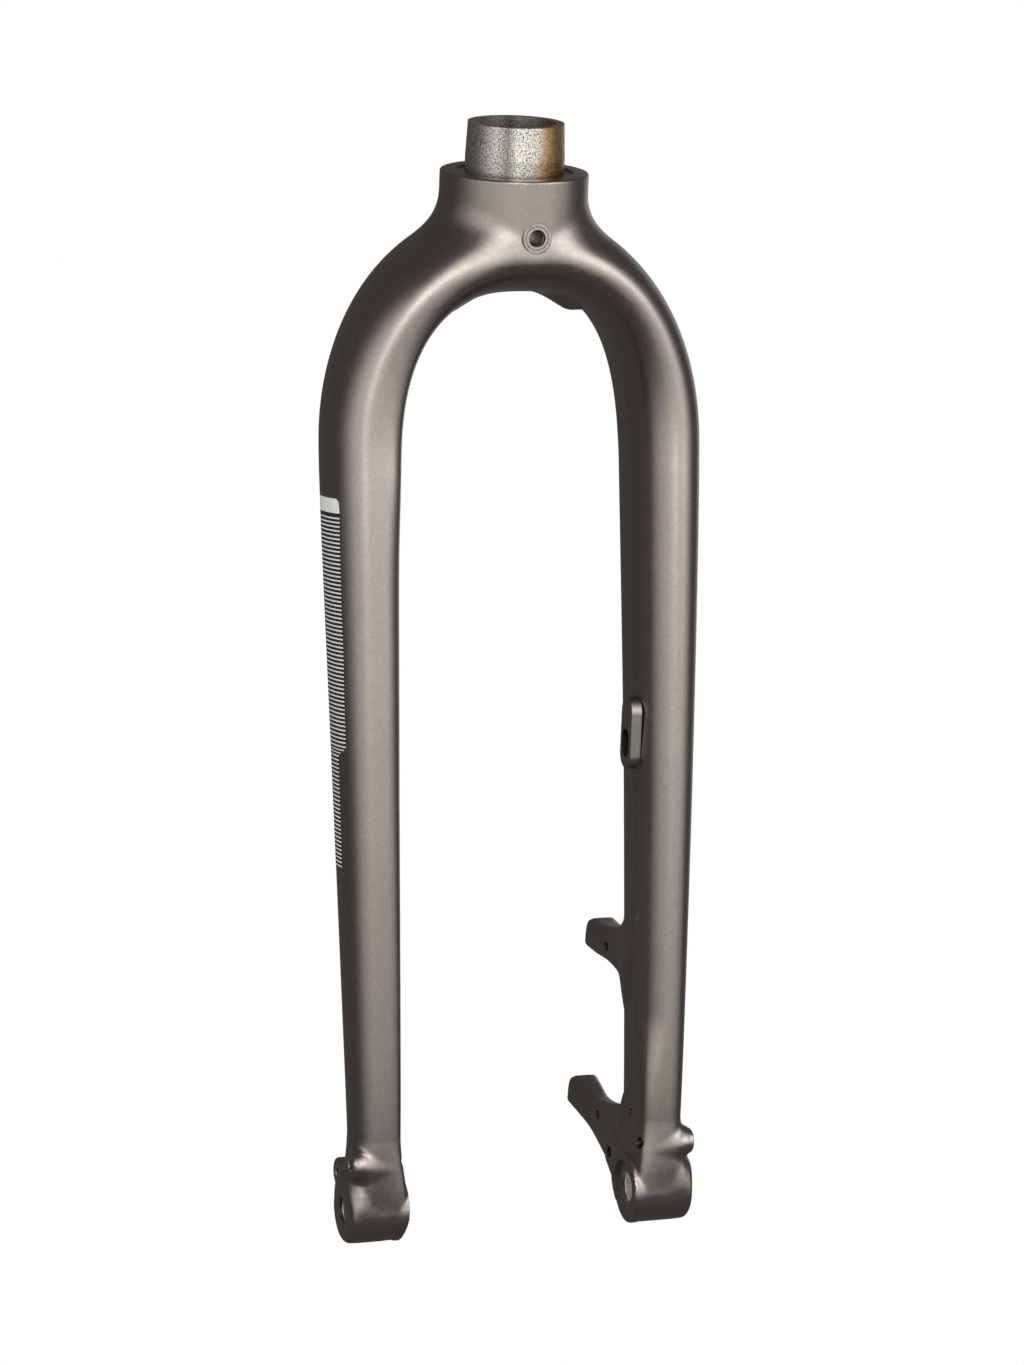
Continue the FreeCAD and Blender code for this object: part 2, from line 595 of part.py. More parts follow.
def eyelet_sleeve(side, front):
    """Threaded sleeve of one eyelet; the disc leg's rear one runs through the brake tab."""
    y, z = (FRONT_EYELET_Y, FRONT_EYELET_Z) if front else (REAR_EYELET_Y, REAR_EYELET_Z)
    end = FRONT_EYELET_FACE if front else REAR_EYELET_FACE
    start = EYELET_INNER_FACE
    if not front and side == DRIVE:
        start = end - REAR_WEB_WIDTH
    return sleeve(EYELET_SLEEVE_RADIUS, EYELET_THREAD_RADIUS, point(side * start, y, z),
                  point(side * end, y, z), SLEEVE_CHAMFER)


def post_sleeve(which):
    """Threaded sleeve of one brake post."""
    face = post_centre(which)
    inner = face - post_axis() * POST_SLEEVE_LENGTH
    return sleeve(POST_SLEEVE_RADIUS, POST_THREAD_RADIUS, inner, face, SLEEVE_CHAMFER)


def hose_port():
    """Plate round the hole where the brake hose leaves the leg."""
    front = LEG_INNER - PORT_PROUD
    plate = port_outline(PORT_WIDTH, PORT_HEIGHT, front, 0.0, PORT_THICKNESS)
    edge = [e for e in plate.Edges if abs(e.BoundBox.XMax - front) < 0.01]
    plate = plate.makeFillet(PORT_EDGE, edge)
    hole = port_outline(PORT_HOLE_WIDTH, PORT_HOLE_HEIGHT, front - LAP, PORT_HOLE_DROP,
                        PORT_THICKNESS + 2.0 * LAP)
    return plate.cut(hole)


def crown_insert():
    """Flanged threaded insert in the front of the crown."""
    front = insert_face_y()
    back = front + INSERT_FLANGE_THICKNESS
    end = front + INSERT_LENGTH
    flange = rod(INSERT_FLANGE_RADIUS, point(0, front, INSERT_Z), point(0, back, INSERT_Z))
    body = rod(INSERT_BODY_RADIUS, point(0, front, INSERT_Z), point(0, end, INSERT_Z))
    seat = front + INSERT_MOUTH_DEPTH
    mouth = rod(INSERT_MOUTH_RADIUS, point(0, front - LAP, INSERT_Z), point(0, seat, INSERT_Z))
    taper = cone(INSERT_MOUTH_RADIUS, INSERT_THREAD_RADIUS, point(0, seat, INSERT_Z),
                 point(0, seat + INSERT_TAPER, INSERT_Z))
    thread = rod(INSERT_THREAD_RADIUS, point(0, front, INSERT_Z), point(0, end + LAP, INSERT_Z))
    return flange.fuse(body).cut(mouth.fuse(taper).fuse(thread)).removeSplitter()


def all_parts():
    """Every piece by its name."""
    return {
        "fork_body": fork_body(),
        "steerer_tube": steerer_tube(),
        "crown_insert": crown_insert(),
        "axle_thread_sleeve": axle_sleeve(DRIVE),
        "axle_bush": axle_sleeve(DISC),
        "eyelet_sleeve_front_drive": eyelet_sleeve(DRIVE, True),
        "eyelet_sleeve_rear_drive": eyelet_sleeve(DRIVE, False),
        "eyelet_sleeve_front_disc": eyelet_sleeve(DISC, True),
        "eyelet_sleeve_rear_disc": eyelet_sleeve(DISC, False),
        "brake_post_sleeve_lower": post_sleeve(0),
        "brake_post_sleeve_upper": post_sleeve(1),
        "hose_port": hose_port(),
    }


os.makedirs("parts", exist_ok=True)
for name, shape in all_parts().items():
    (solid,) = shape.Solids
    print(name, solid.isValid(), round(solid.Volume, 1), len(solid.Faces))
    solid.exportStep("parts/" + name + ".step")
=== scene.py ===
"""Bicycle fork dressed for looks: paint, bare metal, print and the studio round it.

Lengths are named in millimetres and become metres when a mesh is made. The frame is the
model's own: +Z up the steerer, -Y to the front of the bicycle, +X to the disc brake's side.
"""

import logging
import math
from dataclasses import dataclass, field
from enum import Enum
from typing import Dict, List, Sequence, Tuple

import bpy
import numpy as np
from mathutils import Matrix, Vector


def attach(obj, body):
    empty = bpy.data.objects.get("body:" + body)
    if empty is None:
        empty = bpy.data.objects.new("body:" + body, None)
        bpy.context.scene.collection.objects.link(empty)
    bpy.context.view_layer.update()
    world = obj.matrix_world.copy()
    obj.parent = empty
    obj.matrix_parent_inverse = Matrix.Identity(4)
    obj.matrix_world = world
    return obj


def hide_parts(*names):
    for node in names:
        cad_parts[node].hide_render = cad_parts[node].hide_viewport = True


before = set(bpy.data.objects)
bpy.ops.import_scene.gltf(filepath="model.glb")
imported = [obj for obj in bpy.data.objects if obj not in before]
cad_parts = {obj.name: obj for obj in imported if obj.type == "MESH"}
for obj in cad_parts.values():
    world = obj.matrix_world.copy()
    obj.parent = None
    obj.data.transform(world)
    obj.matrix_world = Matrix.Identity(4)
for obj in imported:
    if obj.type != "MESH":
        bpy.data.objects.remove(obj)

LOG = logging.getLogger("fork")
MM = 0.001  # a millimetre in metres
TINY = 1e-6  # keeps a division away from zero
ARC_STEPS = 24  # sides of a half circle
NOISE_RANGE = (0.3, 0.7)  # where nearly all of a noise's values lie
BODY = "root"
Array = np.ndarray
Colour = Tuple[float, float, float]
Point = Tuple[float, float, float]
Pair = Tuple[float, float]
Form = Tuple[List[Point], List[Tuple[int, ...]]]
Socket = bpy.types.NodeSocket


class Side(Enum):
    """The two legs, as the sign of x."""

    DRIVE = -1
    DISC = 1


class Slot(Enum):
    """Material slots of the record."""

    BODY = "body_finish"


def mix(start: float, end: float, share: Array) -> Array:
    """Value a share of the way from start to end.

    Args:
        start: value at a share of 0.
        end: value at a share of 1.
        share: share of the way, a number or an array.

    Returns:
        The value there.
    """
    return start + (end - start) * share


def soft_ends(share: Array) -> Array:
    """Share of the way with a soft start and end.

    Args:
        share: the plain share, from 0 to 1.

    Returns:
        The softened share.
    """
    return share ** 2 * (3.0 - 2.0 * share)


def share_of_way(value: Array, start: float, end: float) -> Array:
    """How far a value is on its way, held at 0 and 1.

    Args:
        value: the value.
        start: where the share is 0.
        end: where it is 1.

    Returns:
        The share.
    """
    return np.clip((value - start) / (end - start), 0.0, 1.0)


def by_side(disc: Array, values: Dict[Side, float]) -> Array:
    """Value of the leg that each point is on.

    Args:
        disc: true for points on the disc side.
        values: the value of each leg.

    Returns:
        The values.
    """
    return np.where(disc, values[Side.DISC], values[Side.DRIVE])


def smooth_union(a: Array, b: Array, reach: Array) -> Array:
    """Union of two distances with a soft crease.

    Args:
        a: distance to one form.
        b: distance to the other.
        reach: how far from the crease the forms flow together.

    Returns:
        The distance to both together.
    """
    reach = np.maximum(reach, 1e-4)
    h = np.clip(0.5 + 0.5 * (b - a) / reach, 0.0, 1.0)
    return b + (a - b) * h - reach * h * (1.0 - h)


def smooth_common(a: Array, b: Array, reach: float) -> Array:
    """Common part of two forms with a rounded edge.

    Args:
        a: distance to one form.
        b: distance to the other.
        reach: width of the rounded edge.

    Returns:
        The distance to what both share.
    """
    return -smooth_union(-a, -b, reach)


def rounded_disc(radial: Array, axial: Array, edge: float) -> Array:
    """Distance to a form bounded by a wall and a flat end with a round edge between.

    Args:
        radial: distance past the wall.
        axial: distance past the end.
        edge: radius of the edge.

    Returns:
        The distance.
    """
    a = radial + edge
    b = axial + edge
    outside = np.sqrt(np.maximum(a, 0.0) ** 2 + np.maximum(b, 0.0) ** 2)
    return np.minimum(np.maximum(a, b), 0.0) + outside - edge


def oval(u: Array, w: Array, half_u: Array, half_w: Array, fullness: Array) -> Array:
    """Distance to a superellipse in its own plane, near its edge.

    Args:
        u: first coordinate from its centre.
        w: second coordinate from its centre.
        half_u: half size along the first.
        half_w: half size along the second.
        fullness: 2 is an ellipse, more is squarer.

    Returns:
        The distance.
    """
    a = np.abs(u) / half_u
    b = np.abs(w) / half_w
    size = np.maximum(a, b) + TINY
    r = size * ((a / size) ** fullness + (b / size) ** fullness) ** (1.0 / fullness)
    slope_u = (a / r) ** (fullness - 1.0) / half_u
    slope_w = (b / r) ** (fullness - 1.0) / half_w
    return (r - 1.0) / np.sqrt(slope_u ** 2 + slope_w ** 2 + 1e-9)


class Table:
    """Smooth values between rows of measured ones."""

    def __init__(self, rows: Sequence[Sequence[float]]) -> None:
        """Keep rows of a place and the values there, and the slopes at each."""
        self.rows = np.array(rows, float)
        self.slopes = np.gradient(self.rows[:, 1:], self.rows[:, 0], axis=0)

    def at(self, place: Array) -> List[Array]:
        """Values at a place.

        Args:
            place: where, an array.

        Returns:
            One array for each column after the first.
        """
        x = self.rows[:, 0]
        p = np.clip(place, x[0], x[-1])
        i = np.clip(np.searchsorted(x, p, side="right") - 1, 0, len(x) - 2)
        span = x[i + 1] - x[i]
        t = (p - x[i]) / span
        found = []
        for c in range(self.rows.shape[1] - 1):
            y0, y1 = self.rows[i, c + 1], self.rows[i + 1, c + 1]
            m0, m1 = self.slopes[i, c] * span, self.slopes[i + 1, c] * span
            a = 2.0 * t ** 3 - 3.0 * t ** 2 + 1.0
            b = t ** 3 - 2.0 * t ** 2 + t
            d = t ** 3 - t ** 2
            found.append(a * y0 + b * m0 + (1.0 - a) * y1 + d * m1)
        return found


@dataclass(frozen=True)
class CrownSizes:
    """Sizes of the crown and its collar, in mm."""

    shoulder_half_width: float = 78.9
    shoulder_z: float = -108.0
    shoulder_rise: float = 94.0
    shoulder_fullness: float = 2.03
    leg_inner: float = 50.5
    arch_z: float = -125.0
    arch_rise: float = 76.8
    arch_fullness: float = 2.75
    depth: float = 60.6
    under_fullness: float = 1.85
    collar_radius: float = 29.8
    collar_edge: Tuple[Pair, ...] = ((0.0, 29.0), (-0.12, 29.4), (-0.4, 29.68), (-0.8, 29.8))
    collar_depth: float = 32.0
    collar_fade: float = 8.0
    neck: float = 11.0
    neck_front: float = 1.2
    lobe_radius: float = 8.0
    lobe_start: Point = (14.0, 0.5, -41.2)
    lobe_end: Point = (26.8, 0.5, -48.9)
    lobe_blend: float = 3.0
    trimmed_from: float = 1.1
    mean_radius: float = 65.0
    mean_z: float = -116.5
    mean_rise: float = 85.4
    front_corner: float = 1.5
    corner_fade: float = 0.10
    lowest: float = -90.0


@dataclass(frozen=True)
class LegSizes:
    """Sizes of the legs, in mm."""

    top_depth: float = 45.0
    end_depth: float = 28.0
    end_half: float = 71.3
    pinch: float = 0.5
    inner_flare: Dict[Side, float] = field(default_factory=lambda: {Side.DRIVE: 3.2, Side.DISC: 2.0})
    end_inner: float = 51.3
    end_z: float = -384.0
    top_set: float = 9.0
    top_skew: float = 0.5
    end_skew: float = 1.3
    bow: float = 1.6
    bow_power: int = 6
    set_power: float = 1.5
    lean_shares: Pair = (0.42, 0.58)
    outer_fullness: Dict[Side, float] = field(default_factory=lambda: {Side.DRIVE: 2.25, Side.DISC: 2.0})
    inner_fullness: float = 3.1
    inner_end_fullness: float = 4.8
    disc_fullness: float = 1.92
    round_end: Pair = (0.84, 0.98)
    flare_fullness: float = 3.2
    flare_start: float = 12.0
    dropout_fullness: float = 6.5
    ease_in: float = 0.07
    front_band: float = 7.0
    least_thickness: float = 8.0
    skew_limit: float = 1.5


@dataclass(frozen=True)
class EndSizes:
    """Sizes of the dropouts, eyelets and brake tabs, in mm."""

    axle_y: float = -46.2
    axle_z: float = -416.0
    hub_face: float = 50.0
    radius: Dict[Side, float] = field(default_factory=lambda: {Side.DRIVE: 13.75, Side.DISC: 14.4})
    face: Dict[Side, float] = field(default_factory=lambda: {Side.DRIVE: 72.8, Side.DISC: 74.2})
    face_edge: float = 2.2
    inset: float = 0.4
    rim_step: float = 0.4
    rim_height: float = 1.5
    rim_edge: float = 0.6
    rim_root: float = 1.0
    rim_fade: Pair = (-427.0, -417.0)
    rim_blend: float = 0.4
    flare_reach: float = 6.0
    flare_least: float = 0.5
    flare_across: Pair = (62.0, 70.0)
    flare_rise: float = 10.0
    dropout_top: float = -370.0
    seat_radius: float = 11.4
    bore: Dict[Side, float] = field(default_factory=lambda: {Side.DRIVE: 5.6, Side.DISC: 6.35})
    sleeve_pocket: float = 7.83
    sleeve_lip: float = 1.6
    front_eyelet: Point = (73.2, -55.3, -393.8)
    front_radius: float = 5.5
    horn: Tuple[Tuple[float, float, float], ...] = (
        (0.0, 4.6, 4.7), (1.0, 5.4, 5.5), (4.0, 5.7, 5.7), (8.0, 4.8, 5.2), (12.0, 3.3, 4.2),
        (16.0, 1.7, 2.6), (19.0, 0.8, 1.2))
    horn_forward: float = 0.5
    horn_setback: float = 0.32
    horn_straight: float = 3.0
    horn_drop: float = 0.15
    horn_blend: float = 3.5
    rear_eyelet: Point = (68.5, -24.3, -408.0)
    rear_radius: float = 6.3
    rear_width: Dict[Side, float] = field(default_factory=lambda: {Side.DRIVE: 9.0, Side.DISC: 17.8})
    rear_share: float = 0.8
    rear_blend: float = 4.5
    rear_edge: float = 1.0
    eyelet_pocket: float = 3.38
    eyelet_clear: float = 2.4
    eyelet_inner: float = 54.5
    post_x: float = 54.9
    post_y: float = 24.0
    post_z: float = -396.5
    post_tilt: float = 10.1
    post_spacing: float = 74.2
    post_edge: float = 0.7
    post_pocket: float = 4.18
    post_pocket_depth: float = 15.0
    cross_hole: float = 1.9
    cross_places: Tuple[Pair, ...] = ((29.6, 3.7), (19.8, 3.6))
    tab_fullness: float = 4.6
    tab_blend: float = 5.0
    tab_top: float = -270.0
    upper_tab: Tuple[Tuple[float, float, float, float], ...] = (
        (0.0, 0.4, 6.6, 6.6), (9.0, 1.8, 7.0, 5.8), (21.0, 5.0, 8.2, 4.4), (33.0, 8.0, 11.6, 3.6),
        (44.0, 9.0, 17.0, 3.2))
    lower_tab: Tuple[Tuple[float, float, float, float], ...] = (
        (0.0, 0.2, 6.6, 6.6), (9.0, 0.4, 6.9, 5.6), (22.0, 0.5, 7.7, 4.2), (38.0, 1.4, 12.0, 3.5),
        (54.0, 4.0, 18.0, 3.2))


@dataclass(frozen=True)
class FittingSizes:
    """Sizes of the seats for the steerer, the insert, the port and the vents, in mm."""

    socket_radius: float = 19.38
    socket_depth: float = 31.0
    step_radius: float = 23.5
    step_depth: float = 0.8
    insert_z: float = -22.4
    insert_front: float = -30.3
    flange_radius: float = 6.4
    flange: float = 1.2
    insert_radius: float = 4.48
    insert_length: float = 9.0
    port_y: float = -27.5
    port_z: float = -227.0
    port_width: float = 12.36
    port_height: float = 30.16
    port_front: float = 47.7
    port_thickness: float = 4.4
    port_hole: Tuple[float, float, float, float] = (7.4, 11.5, 4.0, 13.4)
    vent_y: float = -43.2
    vent_z: float = -383.6
    vent_radius: float = 0.8
    vent_drops: Tuple[float, ...] = (0.0, 1.9)
    vent_depth: float = 6.0


@dataclass
class LegPlaces:
    """Where points lie along the arch and the legs, as shares of the way.

    disc is true on the disc side. down goes from the shoulders to the legs' ends, and eased is
    the same with a gentle start. flare goes from there to the axle, and bend is the same with
    soft ends. cosine is 1 at the steerer, and turn is 1 from the shoulders down.
    """

    disc: Array
    down: Array
    eased: Array
    flare: Array
    bend: Array
    cosine: Array
    turn: Array


@dataclass
class BodyForm:
    """The moulded body as one smooth form: negative inside, positive outside, in mm."""

    crown: CrownSizes = field(default_factory=CrownSizes)
    leg: LegSizes = field(default_factory=LegSizes)
    end: EndSizes = field(default_factory=EndSizes)

    def __post_init__(self) -> None:
        """Make the smooth tables of the eyelets' bosses and the brake tabs."""
        self.horn_table = Table(self.end.horn)
        self.tabs = (Table(self.end.lower_tab), Table(self.end.upper_tab))

    def lean(self, z: Array, cosine: Array) -> Array:
        """Place of the body's centre line from front to back.

        Args:
            z: height.
            cosine: 1 at the steerer, 0 from the shoulders down.

        Returns:
            The y of the centre line.
        """
        leg = self.leg
        t = share_of_way(z, self.crown.mean_z, self.end.axle_z)
        curved, straight = leg.lean_shares
        eased = curved * np.sin(t * math.pi / 2.0) + straight * t
        bow = leg.bow * np.sin(math.pi * t ** leg.bow_power)
        along = -(-self.end.axle_y - leg.top_set) * eased - bow
        return -leg.top_set * (1.0 - cosine) ** leg.set_power + along

    def places(self, x: Array, z: Array) -> LegPlaces:
        """Where points lie along the arch and the legs.

        Args:
            x: places across.
            z: heights.

        Returns:
            Their shares of the way.
        """
        crown, leg, end = self.crown, self.leg, self.end
        down = share_of_way(z, crown.shoulder_z, leg.end_z)
        eased = (down - leg.ease_in * (1.0 - np.exp(-down / leg.ease_in))) / (1.0 - leg.ease_in)
        flare = share_of_way(z, leg.end_z, end.axle_z)
        across = np.abs(x) / crown.mean_radius
        rise = np.maximum(0.0, (z - crown.mean_z) / crown.mean_rise)
        reach = np.sqrt(across ** 2 + rise ** 2) + TINY
        return LegPlaces(disc=x > 0, down=down, eased=eased, flare=flare, bend=soft_ends(flare),
                         cosine=rise / reach, turn=(across / reach) ** 2)

    def widths(self, at: LegPlaces) -> Tuple[Array, Array]:
        """Half widths of the fork and of the gap between its legs.

        Args:
            at: where the points lie.

        Returns:
            The outer and the inner half width.
        """
        crown, leg, end = self.crown, self.leg, self.end
        face = by_side(at.disc, end.face) - end.inset
        outer = mix(crown.shoulder_half_width, leg.end_half, at.eased)
        outer = outer - leg.pinch * at.down ** 4 * (1.0 - at.flare) + (face - leg.end_half) * at.flare ** 2
        inner = mix(crown.leg_inner, leg.end_inner, np.minimum(1.0, 2.0 * at.down))
        return outer, inner - by_side(at.disc, leg.inner_flare) * at.bend

    def depth_and_skew(self, at: LegPlaces) -> Tuple[Array, Array]:
        """Depth of the cross-section, and how far forward its outer side is set.

        Args:
            at: where the points lie.

        Returns:
            The depth and the skew.
        """
        leg = self.leg
        depth = self.crown.depth + (leg.top_depth - self.crown.depth) * at.turn
        depth = depth + (leg.end_depth - leg.top_depth) * at.eased
        depth = depth + (2.0 * by_side(at.disc, self.end.radius) - leg.end_depth) * at.bend
        skew = leg.top_skew * at.turn + (leg.end_skew - leg.top_skew) * at.down - leg.end_skew * at.bend
        return depth, skew

    def fullness(self, at: LegPlaces, z: Array, w: Array, outward: Array) -> Array:
        """How square the cross-section is: 2 is an ellipse, more is squarer.

        Args:
            at: where the points lie.
            z: their heights.
            w: how far they are behind the section's middle.
            outward: true for points in its outer half.

        Returns:
            The fullness.
        """
        crown, leg, end = self.crown, self.leg, self.end
        near = share_of_way(z, leg.end_z, end.axle_z + leg.flare_start)
        last = share_of_way(z, end.axle_z + leg.flare_start, end.axle_z)
        full = by_side(at.disc, leg.outer_fullness)
        outer = mix(2.0, full, at.turn) + (leg.flare_fullness - full) * near ** 2
        outer = outer + (leg.dropout_fullness - leg.flare_fullness) * last ** 2
        inner = mix(crown.under_fullness, leg.inner_fullness, at.turn)
        inner = inner + (leg.inner_end_fullness - leg.inner_fullness) * at.down ** 3
        inner = inner + (leg.dropout_fullness - leg.inner_end_fullness) * at.flare
        ahead = soft_ends(np.clip(-w / leg.front_band, 0.0, 1.0)) * at.turn
        sharper = crown.front_corner * np.exp(-(at.down / crown.corner_fade) ** 2)
        kept = soft_ends(share_of_way(at.down, leg.round_end[1], leg.round_end[0]))
        rounder = (leg.disc_fullness - inner) * kept
        inner = inner + np.where(at.disc, rounder, sharper) * ahead
        return np.where(outward, outer, inner)

    def arch_and_legs(self, x: Array, y: Array, z: Array) -> Array:
        """Distance to the arch and the two legs.

        Args:
            x: places across.
            y: places from front to back.
            z: heights.

        Returns:
            The distance.
        """
        crown, leg = self.crown, self.leg
        at = self.places(x, z)
        outer, inner = self.widths(at)
        depth, skew = self.depth_and_skew(at)
        over_shoulder = np.maximum(z - crown.shoulder_z, 0.0)
        over_arch = np.maximum(z - crown.arch_z, 0.0)
        from_outer = -oval(np.abs(x), over_shoulder, outer, crown.shoulder_rise, crown.shoulder_fullness)
        from_inner = oval(np.abs(x), over_arch, inner, crown.arch_rise, crown.arch_fullness)
        thick = np.maximum(from_inner + from_outer, leg.least_thickness)
        u = (from_inner - from_outer) / thick
        w = y - self.lean(z, at.cosine) + skew * np.clip(u, -leg.skew_limit, leg.skew_limit)
        form = oval(u * thick / 2.0, w, thick / 2.0, depth / 2.0, self.fullness(at, z, w, u > 0))
        return np.maximum(form, self.end.axle_z - z)

    def collar(self, x: Array, y: Array, z: Array) -> Array:
        """Distance to the collar round the steerer, for places x, y and z."""
        radial = np.sqrt(x ** 2 + y ** 2) - self.crown.collar_radius
        return smooth_common(radial, -self.crown.collar_depth - z, self.crown.collar_fade)

    def lobes(self, x: Array, y: Array, z: Array) -> Array:
        """Distance to the two swellings under the crown.

        Args:
            x: places across.
            y: places from front to back.
            z: heights.

        Returns:
            The distance.
        """
        crown = self.crown
        a, b = np.array(crown.lobe_start), np.array(crown.lobe_end)
        line = b - a
        px, py, pz = np.abs(x) - a[0], y - a[1], z - a[2]
        t = np.clip((px * line[0] + py * line[1] + pz * line[2]) / line.dot(line), 0.0, 1.0)
        gap = (px - line[0] * t) ** 2 + (py - line[1] * t) ** 2 + (pz - line[2] * t) ** 2
        return np.sqrt(gap) - crown.lobe_radius

    def dropout(self, side: Side, x: Array, y: Array, z: Array) -> Array:
        """Distance to a dropout's round end.

        Args:
            side: which leg.
            x: places outward from the fork's middle.
            y: places from front to back.
            z: heights.

        Returns:
            The distance.
        """
        end = self.end
        radial = np.hypot(y - end.axle_y, z - end.axle_z) - end.radius[side]
        form = rounded_disc(radial, x - end.face[side], end.face_edge)
        return np.maximum(form, end.hub_face - x)

    def rim(self, side: Side, x: Array, y: Array, z: Array) -> Array:
        """Distance to the raised rim round a hub's seat.

        Args:
            side: which leg.
            x: places outward from the fork's middle.
            y: places from front to back.
            z: heights.

        Returns:
            The distance.
        """
        end = self.end
        radial = np.hypot(y - end.axle_y, z - end.axle_z) - end.radius[side] - end.rim_step
        kept = share_of_way(z, *end.rim_fade)
        form = rounded_disc(radial, end.hub_face - end.rim_height * kept - x, end.rim_edge)
        return np.maximum(form, x - self.leg.end_inner - end.rim_root)

    def horn(self, x: Array, y: Array, z: Array) -> Array:
        """Distance to the boss of the front eyelet.

        Args:
            x: places outward from the fork's middle.
            y: places from front to back.
            z: heights.

        Returns:
            The distance.
        """
        end = self.end
        face, ey, ez = end.front_eyelet
        inward = face - x
        high, deep = self.horn_table.at(inward)
        set_back = end.horn_setback * np.maximum(0.0, inward - end.horn_straight)
        centre = ey - end.front_radius - end.horn_forward + deep + set_back
        form = oval(z - ez + end.horn_drop * inward, y - centre, high, deep, 2.0)
        form = np.maximum(form, x - face)
        return np.maximum(form, face - end.horn[-1][0] - x)

    def rear_boss(self, side: Side, x: Array, y: Array, z: Array) -> Array:
        """Distance to the rear eyelet and its web, a form with a big and a small end.

        Args:
            side: which leg.
            x: places outward from the fork's middle.
            y: places from front to back.
            z: heights.

        Returns:
            The distance.
        """
        end = self.end
        face, by, bz = end.rear_eyelet
        big = end.radius[side] * end.rear_share
        ly, lz = by - end.axle_y, bz - end.axle_z
        length = math.hypot(ly, lz)
        ly, lz = ly / length, lz / length
        py, pz = y - end.axle_y, z - end.axle_z
        along = py * ly + pz * lz
        off = np.abs(py * lz - pz * ly)
        tilt = (big - end.rear_radius) / length
        rest = math.sqrt(1.0 - tilt * tilt)
        k = along * rest - off * tilt
        wall = off * rest + along * tilt - big
        tip = np.hypot(along - length, off) - end.rear_radius
        root = np.hypot(along, off) - big
        radial = np.where(k < 0, root, np.where(k > length * rest, tip, wall))
        form = rounded_disc(radial, x - face, end.rear_edge)
        return smooth_common(form, face - end.rear_width[side] - x, 2.0 * end.rear_edge)

    def post_frame(self, which: int) -> Tuple[Array, Array, Array]:
        """Place and directions of a brake post.

        Args:
            which: 0 for the lower post and 1 for the upper.

        Returns:
            The centre of its face, the way out of it and the way up along it.
        """
        end = self.end
        tilt = math.radians(end.post_tilt)
        out = np.array([0.0, math.cos(tilt), math.sin(tilt)])
        up = np.array([0.0, -math.sin(tilt), math.cos(tilt)])
        face = np.array([end.post_x, end.post_y, end.post_z]) + up * end.post_spacing * which
        return face, out, up

    def tab(self, which: int, x: Array, y: Array, z: Array) -> Array:
        """Distance to a brake tab.

        Args:
            which: 0 for the lower tab and 1 for the upper.
            x: places across.
            y: places from front to back.
            z: heights.

        Returns:
            The distance.
        """
        face, out, up = self.post_frame(which)
        py, pz = y - face[1], z - face[2]
        inward = -(py * out[1] + pz * out[2])
        rise, high, wide = self.tabs[which].at(inward)
        form = oval(py * up[1] + pz * up[2] - rise, x - face[0], high, wide, self.end.tab_fullness)
        form = rounded_disc(form, -inward, self.end.post_edge)
        return np.maximum(form, inward - self.tabs[which].rows[-1, 0])

    def distance(self, x: Array, y: Array, z: Array) -> Array:
        """Distance to the whole body, before its holes are cut.

        Args:
            x: places across.
            y: places from front to back.
            z: heights.

        Returns:
            The distance, negative inside.
        """
        crown, end = self.crown, self.end
        form = self.arch_and_legs(x, y, z)
        lowest, highest = float(np.min(z)), float(np.max(z))
        if highest > crown.lowest:
            neck = crown.neck * np.abs(x) / (np.hypot(x, y) + TINY) + crown.neck_front
            form = smooth_union(form, self.collar(x, y, z), neck)
            form = smooth_union(form, self.lobes(x, y, z), crown.lobe_blend)
            form = np.maximum(form, z - crown.trimmed_from)
        if lowest < end.tab_top and float(np.max(x)) > 0.0:
            for which in (0, 1):
                form = smooth_union(form, self.tab(which, x, y, z), end.tab_blend)
        if lowest < end.dropout_top:
            for side in Side:
                outward = x * side.value
                if float(np.max(outward)) < 0.0:
                    continue
                reach = share_of_way(outward, *end.flare_across)
                reach = reach * share_of_way(z, end.axle_z, end.axle_z + end.flare_rise)
                blend = end.flare_least + end.flare_reach * reach
                form = smooth_union(form, self.dropout(side, outward, y, z), blend)
                form = smooth_union(form, self.horn(outward, y, z), end.horn_blend)
                form = smooth_union(form, self.rear_boss(side, outward, y, z), end.rear_blend)
                form = smooth_union(form, self.rim(side, outward, y, z), end.rim_blend)
        return form

    def slope(self, points: Array) -> Tuple[Array, Array]:
        """Distance and its slope at points.

        Args:
            points: rows of x, y, z.

        Returns:
            The distances, and rows with their slopes.
        """
        step = 0.02
        x, y, z = points.T
        here = self.distance(x, y, z)
        slopes = np.stack([
            self.distance(x + step, y, z) - here,
            self.distance(x, y + step, z) - here,
            self.distance(x, y, z + step) - here], axis=1) / step
        return here, slopes


def steps(stops: Sequence[Pair]) -> Array:
    """Grid lines with their own spacing in each stretch.

    Args:
        stops: pairs of a stretch's start and its spacing; the last pair only ends it.

    Returns:
        The places of the lines.
    """
    lines: List[float] = []
    for (start, gap), (end, _) in zip(stops, stops[1:]):
        count = max(1, round((end - start) / gap))
        lines += [start + (end - start) * k / count for k in range(count)]
    return np.array(lines + [stops[-1][0]])


